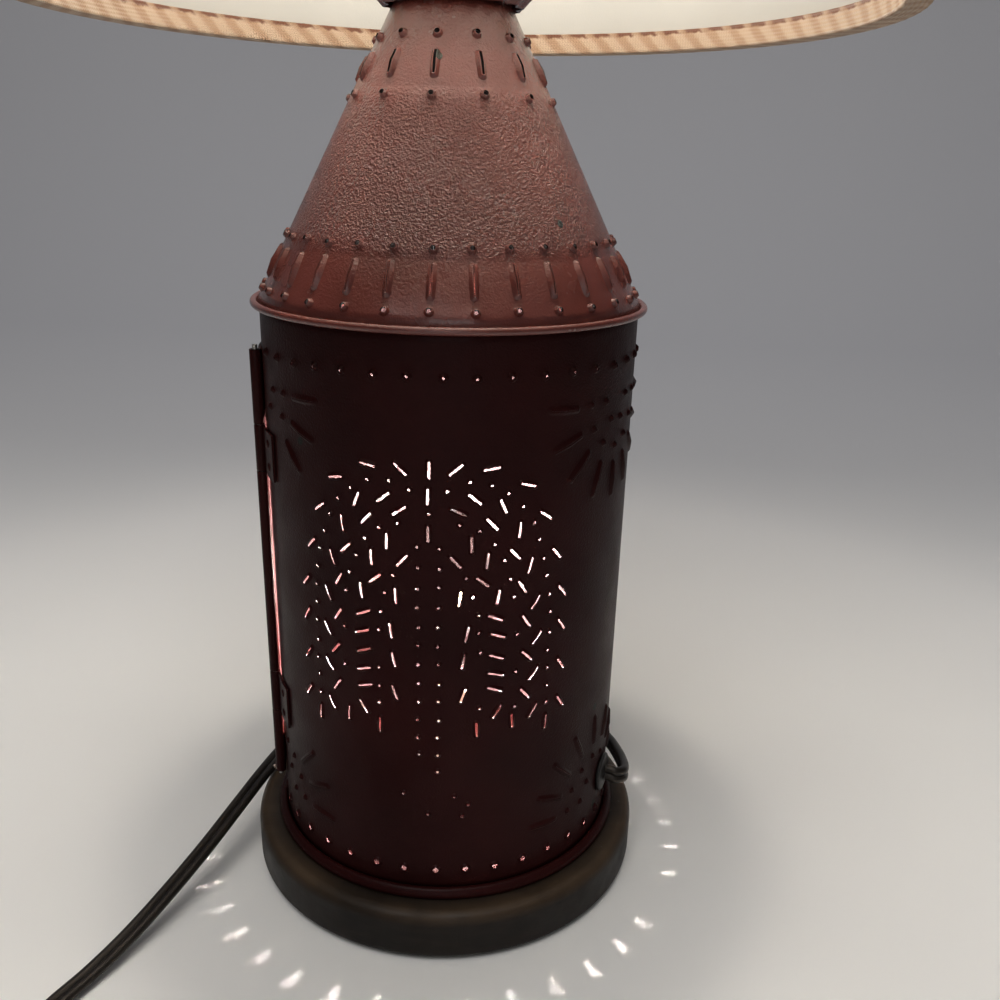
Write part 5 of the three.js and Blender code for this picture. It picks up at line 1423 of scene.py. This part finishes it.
staple = {"azimuth": -165.0, "wire": 0.8, "half": 3.0, "proud": 6.0}
stapleSide = polar(staple["azimuth"] + 90, 1.0, 0.0)
stapleReach = [0, 0.6 * staple["proud"], staple["proud"] - staple["wire"], 0.6 * staple["proud"], 0]
staplePoints = [polar(staple["azimuth"], doorInner + reach, haspMiddle + share * staple["half"])
                for reach, share in zip(stapleReach, (-1, -1, 0, 1, 1))]
stapleShell = swept(smoothPath(staplePoints, 8), roundSection(staple["wire"], 10), stapleSide)
addPiece("haspStaple", stapleShell, "lamp", ["steel"], ["hasp_staple"])
print("door, hinge and hasp made")


# Bulb's glass: the CAD's swelling curve with more points, and the same curve moved in by the wall
def glassShell(node, bulb, sides):
    _, foot, top = turnedSize(node)
    neck, radius, widest = bulb["neck"], bulb["radius"], bulb["widest"]
    shares = [(neck, 0), (neck * 1.15, 0.14), (radius * 0.93, widest - 0.22), (radius, widest),
              (radius * 0.7, widest + (1 - widest) * 0.72), (0, 1)]
    outer = np.maximum(smoothPath([(r, foot + share * (top - foot)) for r, share in shares], 9), [0, foot])
    inner = np.maximum(outer - [bulb["wall"], 0], [0, foot])
    inner[-1, 1] -= bulb["wall"]
    return turned(np.vstack([outer, inner[::-1]]), sides)


# Screw base: radius swings by half a thread along a helix, z/pitch - angle/2pi.
def screwBase(node, radius, pitch, depth, rows):
    _, foot, top = turnedSize(node)
    tall, angle = top - foot, circle(40)
    low, high = foot + 0.2 * tall, foot + 0.86 * tall
    height = np.linspace(low, high, rows)
    fade = smoothStep(low, low + pitch, height) * (1 - smoothStep(high - pitch, high, height))
    wave = np.cos(2 * np.pi * height[:, None] / pitch - angle)
    threads = radius - depth / 2 + depth / 2 * wave * fade[:, None]
    lower = np.array([(0, 0), (0.3, 0), (0.46, 0.04), (0.5, 0.1), (0.8, 0.14)]) * [radius, tall] + [0, foot]
    upper = np.array([(0.99, 0.9), (0.93, 1), (0, 1)]) * [radius, tall] + [0, foot]
    plainRows = [np.repeat(part[:, :1], len(angle), 1) for part in (lower, upper)]
    r = np.vstack([plainRows[0], threads, plainRows[1]])
    z = np.concatenate([lower[:, 1], height, upper[:, 1]])[:, None]
    points = np.stack(np.broadcast_arrays(r * np.cos(angle), r * np.sin(angle), z), -1)
    return points.reshape(-1, 3), gridFaces(len(r), len(angle), False, True)


# Light inside the lantern: cream socket, small screw base, clear candle bulb with its filament
innerBulb = {
    "neck": 5.2,
    "radius": 17.0,
    "widest": 0.42,
    "wall": 0.5,
    "screw": (5.9, 2.4, 0.8, 48),  # radius, pitch, depth and rows
    "peak": (4.3, 5.0, 104.5),  # of the filament
    "spread": 2.3,
    "drop": 12.5,
    "filament": 0.4,
    "support": 0.25,
}
innerFoot = span("inner_bulb_glass")[0][2]


# A stepped turned body with a groove, a well for the bulb's base and a bore for the pipe.
def innerSocketShell():
    r, low, top = turnedSize("inner_socket")
    tall, groove, bore, well = top - low, r - 0.6, 5.1, 6.2
    corners = [(bore, low), (9, low), (9, low + 0.15 * tall), (r, low + 0.2 * tall), (r, low + 0.55 * tall),
               (groove, low + 0.57 * tall), (groove, low + 0.6 * tall), (r, low + 0.62 * tall), (r, top),
               (well, top), (well, top - 18), (0, top - 18), (0, low + 10.3), (bore, low + 10.3)]
    return turned(softCorners(corners, [0, 0.5, 1, 1.2, 0.3, 0.3, 0.3, 0.3, 0.8, 0.4, 0, 0, 0, 0], 3), 48)


addPiece("innerSocket", innerSocketShell(), "lamp", ["creamPlastic"], ["inner_socket"])
addPiece("innerBulbBase", screwBase("inner_bulb_base", *innerBulb["screw"]), "inner_bulb",
         ["brass"], ["inner_bulb_base"])
innerGlass = addPiece("innerBulbGlass", glassShell("inner_bulb_glass", innerBulb, 48), "inner_bulb",
                      ["clearGlass"], ["inner_bulb_glass"], sharp=60)


# Filament: from its peak, two straight legs fall to the support wires, at places from -1 to 1 along it
def filamentPoints(places):
    x, y, z = innerBulb["peak"]
    return np.stack([x + innerBulb["spread"] * places, y + 0 * places, z - innerBulb["drop"] * np.abs(places)], -1)


# Stem, two bowed support wires and the filament that peaks between them
def filamentShells():
    legs = filamentPoints(np.array([-1.0, 1.0]))
    stemRises = [(0, 0), (3.6, 0), (2.2, 9), (1.5, 15), (0, 16)]
    stem = turned(softCorners(np.add(stemRises, [0, innerFoot]), [0, 0.3, 3, 1, 0], 4), 20)
    supports, start = [], innerFoot + 14
    for side, leg in zip((-1, 1), legs):
        bow = (side * 2.4 + 1.6, 2.0, (start + leg[2]) / 2)
        path = smoothPath([(side, 0, start), bow, leg], 8)
        supports.append(swept(path, roundSection(innerBulb["support"], 6), (0, 1, 0)))
    peaked = filamentPoints(np.linspace(-1, 1, 41))
    return joinShells(stem, *supports), swept(peaked, roundSection(innerBulb["filament"], 8), (0, 1, 0))


stemShell, filamentShell = filamentShells()
addPiece("innerBulbStem", stemShell, "inner_bulb", ["steel"])
addPiece("innerFilament", filamentShell, "inner_bulb", ["filament"])

# Upper light: socket cap and shell, switch, bulb
upperBulb = {
    "neck": 12.2,
    "radius": 30.0,
    "widest": 0.63,
    "wall": 0.8,
    "screw": (turnedSize("bulb_base")[0], 3.6, 1.2, 60),  # radius, pitch, depth and rows
}
shellRadius, shellFoot, shellTop = turnedSize("socket_shell")


# A turned cup that widens from the pipe to the shell.
def socketCapShell():
    out, low, high = turnedSize("socket_cap")
    corners = [(5.1, low), (8.2, low), (8.6, low + 4.6), (14.8, shellFoot - 3.2), (out, shellFoot - 0.6), (out, high),
               (out - 0.8, high), (out - 0.8, shellFoot - 0.3), (13.6, shellFoot - 2.4), (5.1, low + 5.4)]
    return turned(softCorners(corners, [0, 0.5, 1.8, 3, 1.2, 0.3, 0.2, 0.4, 1, 0], 5), 72)


# Brass shell: a plain tube with two pressed rings and a rolled lip
def socketShellShell():
    height = np.linspace(shellFoot, shellTop, 70)
    swell = sum(0.45 * np.exp(-(((height - middle) / 1.1) ** 2)) for middle in (shellFoot + 22, shellTop - 1.6))
    outer = np.stack([shellRadius - 0.45 + swell, height], -1)
    return turned(np.vstack([outer, [(shellRadius - 0.9, shellTop), (shellRadius - 0.9, shellFoot)]]), 72)


addPiece("socketCap", socketCapShell(), "lamp", ["brass"], ["socket_cap"])
addPiece("socketShell", socketShellShell(), "lamp", ["brass"], ["socket_shell"], sharp=50)
addPiece("bulbBase", screwBase("bulb_base", *upperBulb["screw"]), "upper_bulb", ["brass"], ["bulb_base"])
bulbGlass = addPiece("bulbGlass", glassShell("bulb_glass", upperBulb, 72), "upper_bulb",
                     ["litBulb"], ["bulb_glass"], sharp=60)

knob = {
    "stem": 1.5,
    "from": 8.5,
    "reach": 25.0,
    "length": 9.0,
    "halfWidth": 6.5,
    "halfThick": 1.75,
    "softness": 0.7,
    "rows": 26,
    "sides": 32,
}


# Switch: a stem along -Y and a flat paddle, an ellipse in outline whose section is a rounded oblong
def knobShell():
    _, low, high = turnedSize("switch_knob")
    axisHeight = (low + high) / 2
    path = [(0, -y, axisHeight) for y in np.linspace(knob["from"], knob["reach"] + 1.5, 6)]
    stem = swept(path, roundSection(knob["stem"], 16), (1, 0, 0))
    share = np.linspace(0, np.pi, knob["rows"])[:, None]
    along = knob["reach"] + knob["length"] * (1 - np.cos(share)) / 2
    wide = knob["halfWidth"] * np.sin(share) ** 0.45 * (0.8 + 0.2 * np.sin(share / 2))
    thick = knob["halfThick"] * np.sin(share) ** 0.5
    soft = softOval(knob["sides"], knob["softness"])
    points = np.stack(np.broadcast_arrays(wide * soft[0], -along, axisHeight + thick * soft[1]), -1)
    return joinShells(stem, (points.reshape(-1, 3), gridFaces(knob["rows"], knob["sides"], False, True)))


addPiece("switchKnob", knobShell(), "switch", ["blackPlastic"], ["switch_knob"])
print("both lights made")

# Saddle, sleeves and harp
harp = {
    "half": 38.0,
    "spread": 57.0,
    "leg": 46.0,
    "wire": 1.6,
    "shoulder": 6.0,
    "stud": 3.0,
    "studRows": 56,
    "studSides": 24,
    "thread": 0.9,
    "threadDepth": 0.25,
}
saddle = {"rise": 8.0, "wall": 1.2, "halfWidth": 5.5, "foot": 12.0, "seat": 3.0, "post": 1.6}
washerFoot = span("shade_spider")[0][2]


# A bent strip with a flat seat at each end, and a post on each seat.
def saddleShell():
    _, foot, top = turnedSize("harp_saddle")
    wall, start, post, high = saddle["wall"], saddle["foot"], saddle["post"], foot + saddle["rise"]
    inner, outer = harp["half"] - saddle["seat"], harp["half"] + saddle["seat"]
    arm = np.array([(start, foot), (inner, high - wall), (outer, high - wall), (outer, high), (inner, high),
                    (start, foot + wall)])
    outline = softCorners(np.vstack([arm, arm[::-1] * [-1, 1]]), [3, 3, 0.4, 0.4, 3, 3] * 2, 4)
    strip = extruded(outline, -saddle["halfWidth"], saddle["halfWidth"], [(1, 0, 0), (0, 0, 1), (0, 1, 0)])
    corners = [(0, high - 0.6), (post, high - 0.6), (post, top - 0.6), (1.0, top), (0, top)]
    profile = softCorners(corners, [0, 0, 0.4, 0.3, 0], 3)
    return joinShells(strip, *(turned(profile, 20, centre=(side * harp["half"], 0)) for side in (1, -1)))


# A turned sleeve with a rolled edge at both ends.
def sleeveShell(side):
    _, low, high = turnedSize("harp_sleeve_right")
    corners = [(1.9, low), (2.75, low), (3.0, low + 0.8), (3.0, low + 2), (2.65, low + 2.6), (2.65, high - 2.6),
               (3.0, high - 2), (3.0, high - 0.5), (2.7, high), (1.9, high)]
    return turned(softCorners(corners, 0.3, 3), 32, centre=(side * harp["half"], 0))


# Harp: the CAD's points, with a threaded stud whose radius swings along a helix
def harpShell():
    _, foot, studTop = turnedSize("harp")
    top = washerFoot - 1.9
    tall, half, spread = top - foot, harp["half"], harp["spread"]
    bow = tall - harp["leg"]
    leg = [(half, harp["leg"] * share) for share in (0, 1 / 3, 2 / 3, 1)]
    arch = [(half + (spread - half) * 0.6, 0.2), (spread, 0.42), (spread * 0.86, 0.7), (spread * 0.5, 0.93)]
    right = leg + [(x, harp["leg"] + bow * share) for x, share in arch]
    points = [(x, 0, foot + z) for x, z in right] + [(0, 0, top)] + [(-x, 0, foot + z) for x, z in right[::-1]]
    wire = swept(smoothPath(points, 10), roundSection(harp["wire"], 12), (0, 1, 0))
    rows, sides, shoulderTop = harp["studRows"], harp["studSides"], top + 2.1
    height, angle = np.linspace(shoulderTop, studTop, rows)[:, None], circle(sides)
    thread = harp["stud"] - harp["threadDepth"] * (1 - np.cos(2 * np.pi * height / harp["thread"] - angle))
    stud = np.stack(np.broadcast_arrays(thread * np.cos(angle), thread * np.sin(angle), height), -1)
    ends = [list(range(sides)), list(range((rows - 1) * sides, rows * sides))]
    out, low = harp["shoulder"], top - harp["wire"]
    shoulder = softCorners([(0, low), (out, low), (out, shoulderTop), (0, shoulderTop)], [0, 0.6, 0.4, 0])
    return joinShells(wire, turned(shoulder, 40), (stud.reshape(-1, 3), gridFaces(rows, sides, False, True) + ends))


addPiece("harpSaddle", saddleShell(), "lamp", ["brass"], ["harp_saddle"])
addPiece("sleeveRight", sleeveShell(1), "sleeve_right", ["brass"], ["harp_sleeve_right"])
addPiece("sleeveLeft", sleeveShell(-1), "sleeve_left", ["brass"], ["harp_sleeve_left"])
addPiece("lampHarp", harpShell(), "lamp", ["brass"], ["harp"])

finial = {"ball": 8.4, "bore": 3.3, "boreDepth": 12.4}


# A turned foot, neck and collar under a ball, with a blind bore.
def finialShell():
    _, low, high = turnedSize("finial")
    r, bore = finial["ball"], finial["bore"]
    angle = np.radians(np.linspace(-32, 90, 16))
    ball = np.stack([r * np.cos(angle), high - r + r * np.sin(angle)], -1)
    shares = np.array([(0.75, 0), (0.78, 0.12), (0.5, 0.19), (0.42, 0.33), (0.72, 0.4), (0.72, 0.45)])
    corners = np.vstack([(bore, low), shares * [r, high - low] + [0, low], ball[0]])
    lower = softCorners(corners, [0, 0.5, 0.8, 1.2, 1.5, 0.6, 0.6, 0], 4, False)
    boreTop = low + finial["boreDepth"]
    return turned(np.vstack([lower, ball[1:], [(0, boreTop), (bore, boreTop)]]), 48)


addPiece("lampFinial", finialShell(), "finial", ["brass"], ["finial"])
print("harp and finial made")

# Shade: the cloth is a flat cut rolled into a cone, with a cream lining, taped edges and wire rings
shadeBottom, shadeFoot, shadeHead = turnedSize("shade_skin")
shade = {
    "bottom": shadeBottom,
    "top": 72.0,
    "foot": shadeFoot,
    "head": shadeHead,
    "wall": 1.2,
    "sides": 192,
    "rows": 34,
}
shadeTall, shadeFall = shade["head"] - shade["foot"], shade["bottom"] - shade["top"]
shadeSlant = math.hypot(shadeTall, shadeFall)


# The cone's radius at a height.
def shadeRadius(height):
    return shade["top"] + shadeFall * (shade["head"] - height) / shadeTall


# Place on the flat cut: distance from the cone's tip along the slope, and the angle that the cone unrolls to.
def flatCut(azimuth, height):
    reach = shadeRadius(height) * shadeSlant / shadeFall * unit
    angle = np.radians(azimuth) * shadeFall / shadeSlant
    return np.stack([reach * np.sin(angle), reach * np.cos(angle)], -1)


# The cone's outer side, then its inner side one wall further in, closed over both edges.
def shadeShell():
    rows, sides = shade["rows"], shade["sides"]
    row = np.arange(2 * rows)
    height = np.linspace(shade["foot"], shade["head"], rows)
    height = np.concatenate([height, height[::-1]])[:, None]
    radius = shadeRadius(height) - shade["wall"] * (row[:, None] >= rows)
    azimuth = np.linspace(-180, 180, sides + 1)[None, :]
    slots = np.repeat(((row >= rows) & (row < 2 * rows - 1)).astype(int), sides)
    points, uv = polar(azimuth, radius, height), flatCut(*np.broadcast_arrays(azimuth, height))
    return (points.reshape(-1, 3), gridFaces(2 * rows, sides + 1, True, False)), slots, uv.reshape(-1, 2)


skinShell, skinSlots, skinUv = shadeShell()
shadeCloth = addPiece("shadeCloth", skinShell, "shade", ["checkCloth", "lining"],
                      ["shade_skin"], faceSlots=skinSlots, uv=skinUv, sharp=50)
ringWire = 1.5
ring = {"wire": ringWire, "lift": 1.8, "inset": shade["wall"] + gap + ringWire * (1 + shadeFall / shadeTall)}
trim = {
    "height": 9.0,
    "inner": 6.6,
    "wall": 0.9,
    "pucker": 0.14,
    "puckers": 115,
    "puckerTwist": 0.9,
    "sides": 300,
    "innerMouth": 20,  # the profile's point in the middle of the fourth corner
}


# Tape folded over an edge and its ring: a soft-cornered profile round the axis, slightly puckered.
def tapeShell(edge, ringRadius, up):
    mouth, back, far = edge - up * trim["height"], edge + up * gap, edge + up * (gap + trim["wall"])
    within = edge - up * trim["inner"]
    inside = ringRadius - ring["wire"] - gap
    wall, outerMouth, outerEdge = trim["wall"], shadeRadius(mouth) + gap, shadeRadius(edge) + gap
    corners = [(outerMouth + wall, mouth), (outerEdge + wall, far), (inside - wall, far), (inside - wall, within),
               (inside, within), (inside, back), (outerEdge, back), (outerMouth, mouth)]
    profile = softCorners(corners, [0.3, 1.3, 1.3, 0.3, 0.3, 0.5, 0.5, 0.3], 5)
    profile = np.vstack([profile, profile[:1]])
    azimuth = np.linspace(-180, 180, trim["sides"] + 1)[None, :]
    run = np.concatenate([[0], np.cumsum(np.linalg.norm(np.diff(profile, axis=0), axis=1))])
    run *= tapeCloth["mouth"] / run[trim["innerMouth"]]
    ripple = trim["pucker"] * np.sin(trim["puckers"] * np.radians(azimuth) + trim["puckerTwist"] * profile[:, 1:])
    points = polar(azimuth, profile[:, :1] + ripple, profile[:, 1:])
    arc = np.radians(azimuth) * shadeRadius(edge)
    uv = np.stack(np.broadcast_arrays(arc, run[:, None]), -1) * unit
    return (points.reshape(-1, 3), gridFaces(len(profile), trim["sides"] + 1)), uv.reshape(-1, 2)


ringHeights = {"bottom": shade["foot"] + ring["lift"], "top": shade["head"] - ring["lift"]}
ringRadii = {edge: shadeRadius(height) - ring["inset"] for edge, height in ringHeights.items()}
for edge, height, up in (("bottom", shade["foot"], -1), ("top", shade["head"], 1)):
    tapeMade, tapeUv = tapeShell(height, ringRadii[edge], up)
    addPiece(f"{edge}Tape", tapeMade, "shade", ["checkTape"], [f"shade_{edge}_trim"],
                          uv=tapeUv, sharp=60)


# A wire ring inside an edge of the shade.
def ringShell(edge):
    path = polar(np.linspace(0, 360, 180, endpoint=False), ringRadii[edge], ringHeights[edge])
    return swept(path, roundSection(ring["wire"] * 0.95, 8), upright, closed=True)


spider = {
    "washer": 9.0,
    "bore": 3.3,
    "thick": 1.4,
    "rise": 0.4,
    "arms": (180, 300, 60),  # azimuths
    "armStart": 6.3,
    "wire": 1.35,
}


# Spider: the top ring, three drooping arms and the washer under the finial
def spiderShell():
    half, out, high = spider["thick"] / 2, ringRadii["top"], ringHeights["top"]
    middle = washerFoot + half + spider["rise"]
    washer = softCorners([(spider["bore"], middle - half), (spider["washer"], middle - half),
                          (spider["washer"], middle + half), (spider["bore"], middle + half)], 0.3)
    bend = (0.75 * out, middle + 0.3 * (high - middle))
    stations = [(spider["armStart"], middle), (0.35 * out, middle), bend, (out, high)]
    shells = [ringShell("top"), turned(washer, 48)]
    for azimuth in spider["arms"]:
        path = smoothPath([polar(azimuth, r, z) for r, z in stations], 10)
        shells.append(swept(path, roundSection(spider["wire"], 10), polar(azimuth + 90, 1.0, 0.0)))
    return joinShells(*shells)


addPiece("shadeSpider", spiderShell(), "shade", ["brass"], ["shade_spider"])
addPiece("bottomRing", ringShell("bottom"), "shade", ["brass"], ["shade_bottom_ring"])
print("shade made")

# Leads inside the lantern: two-lobed wires along the CAD's points
leads = {"start": 60.1, "spacing": 2.4, "climb": 16.0, "wallRadius": 57.1, "scale": 0.44}
leadSide = polar(cordExit["azimuth"] + 90, 1.0, 0.0)


# A place in the lantern: out towards the cord's exit, aside and up.
def leadPoint(radius, aside, height):
    return outward * radius + leadSide * aside + height * upright


# The lower lead goes down to the socket's pipe, the upper one up the wall and the hood to the lamp pipe.
def leadShells():
    start, wall, aside, high = leads["start"], leads["wallRadius"], leads["spacing"], cordExit["height"]
    tall, pipeFoot = bodyTop - bodyFoot, span("lamp_pipe")[0][2]
    lower = [(start, -aside, high), (start - 4, -aside, high), (start * 0.6, -aside, bodyFoot + 10),
             (start * 0.4, -aside / 2, bodyFoot + 5), (15, 0, bodyFoot + 4), (9.4, 0, bodyFoot + 4)]
    upper = [(start, aside, high), (start - 4, aside, high), (start - 9, aside, high + leads["climb"]),
             (wall - 3, aside, bodyFoot + 0.4 * tall), (wall, aside, bodyFoot + 0.75 * tall),
             (wall - 4, aside, bodyTop - 5), (wall * 0.62, aside / 2, hood["foot"] + 0.28 * hoodHeight),
             (wall * 0.2, 0, hood["foot"] + 0.66 * hoodHeight), (0, 0, pipeFoot - 8), (0, 0, pipeFoot - gap)]
    paths = [smoothPath([leadPoint(*spot) for spot in route], 10) for route in (lower, upper)]
    return [swept(path, cordSection() * leads["scale"], leadSide) for path in paths]


for label, shell in zip(("lower", "upper"), leadShells()):
    addPiece(f"{label}Lead", shell, "lamp", ["cordSkin"], [f"{label}_lead"], sharp=70)

# CAD nodes that stay as they are get their finishes
keptFinishes = {
    "steel": ["pan_screw_1", "pan_screw_2", "pan_screw_3", "inner_pipe", "inner_nut", "hood_nut"],
    "brass": ["lamp_pipe", "plug_blade_narrow", "plug_blade_wide"],
    "card": ["socket_liner"],
    "blackPlastic": ["socket_core"],
}
for look, nodes in keptFinishes.items():
    for node in nodes:
        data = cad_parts[node].data
        data.materials.clear()
        data.materials.append(looks[look])
print("leads and kept nodes finished")

# Stage: a pale floor that sweeps up into a backdrop, whose colour turns to a darker grey behind the lamp: painted shade
# for the wall getting less light
stage = {
    "half": 2.2,
    "front": -1.6,
    "bend": 0.55,
    "radius": 0.5,
    "height": 2.2,
    "columns": 9,
    "floor": ((0.80, 0.78, 0.75, 1), (0.83, 0.81, 0.78, 1)),
    "cloud": 3.0,
    "wall": (0.48, 0.475, 0.495, 1),
    # The wall's darker grey is painted shade
    "wallShadeFrom": (0.1, 0.8),  # metres behind the lamp between which the floor's colour turns into the wall's
}


# A level line, a quarter circle and an upright line, carried across.
def addStage():
    turn = np.radians(np.linspace(0, 90, 25))
    sweep = np.stack([stage["bend"] + stage["radius"] * np.sin(turn), stage["radius"] * (1 - np.cos(turn))], -1)
    profile = np.vstack([[(stage["front"], 0)], sweep, [(sweep[-1, 0], stage["height"])]])
    x = np.linspace(-stage["half"], stage["half"], stage["columns"])
    points = np.stack(np.broadcast_arrays(x, profile[:, :1], profile[:, 1:]), -1)
    mesh = bpy.data.meshes.new("stageSweep")
    mesh.from_pydata(points.reshape(-1, 3).tolist(), [], gridFaces(len(profile), stage["columns"]))
    mesh.shade_smooth()
    material, tree, shader, place = newMaterial("paleStage", {"Roughness": 0.75})
    pale = mixColor(tree, cloudy(tree, place, stage["cloud"]), *stage["floor"])
    depth = addNode(tree, "ShaderNodeSeparateXYZ", {0: place}).outputs["Y"]
    # The floor's colour turns into the wall's darker painted shade
    feed(shader, mixColor(tree, remap(tree, depth, *stage["wallShadeFrom"]), pale, stage["wall"]), "Base Color")
    mesh.materials.append(material)
    sweepPiece = bpy.data.objects.new("stageSweep", mesh)
    scene.collection.objects.link(sweepPiece)


addStage()

# Light: the lamp's own two bulbs in millimetres, and soft studio lights in metres
bulbLights = [
    {"name": "upperBulbLight", "at": (0, 0, 410), "watts": 2.5, "size": 24, "colour": (1.0, 0.93, 0.83)},
    *({"name": f"filamentLight{i}", "at": at, "watts": 1.7, "size": 0.6, "colour": (1.0, 0.9, 0.85)}
      for i, at in enumerate(filamentPoints(np.linspace(-1, 1, 7)))),
]
softLights = [
    {"name": "topLight", "at": (0.0, -0.25, 1.9), "watts": 12.0, "size": 1.6},
    {"name": "keyLight", "at": (-0.2, -0.95, 1.7), "watts": 9.0, "size": 0.9},
    {"name": "frontLight", "at": (0.08, -1.25, 0.42), "watts": 1.3, "size": 0.6},
    {"name": "fillLight", "at": (1.4, -0.9, 1.1), "watts": 0.5, "size": 1.2},
    {"name": "rearLight", "at": (0.2, 0.75, 1.5), "watts": 0.8, "size": 0.9},
]
studio = {"target": (0, 0, 0.25), "Color": (0.62, 0.64, 0.68, 1), "Strength": 0.05}


# Puts a light into the scene.
def addLight(lamp, kind, size, scale):
    data = bpy.data.lights.new(lamp["name"], kind)
    data.energy = lamp["watts"]
    setattr(data, size, lamp["size"] * scale)
    made = bpy.data.objects.new(lamp["name"], data)
    made.location = Vector(lamp["at"]) * scale
    scene.collection.objects.link(made)
    return made


# Bulbs shine all round, soft lights face the lamp's middle, and the room adds a faint glow.
def addLights():
    for lamp in bulbLights:
        addLight(lamp, "POINT", "shadow_soft_size", unit).data.color = lamp["colour"]
    for lamp in softLights:
        made = addLight(lamp, "AREA", "size", 1.0)
        made.rotation_euler = (Vector(studio["target"]) - made.location).to_track_quat("-Z", "Y").to_euler()
    for glass in (innerGlass, bulbGlass):
        glass.visible_shadow = False  # the lights stand inside the bulbs
    world = bpy.data.worlds.new("studio")
    world.use_nodes = True
    for socket in ("Color", "Strength"):
        world.node_tree.nodes["Background"].inputs[socket].default_value = studio[socket]
    scene.world = world


addLights()
print("stage and lights set")
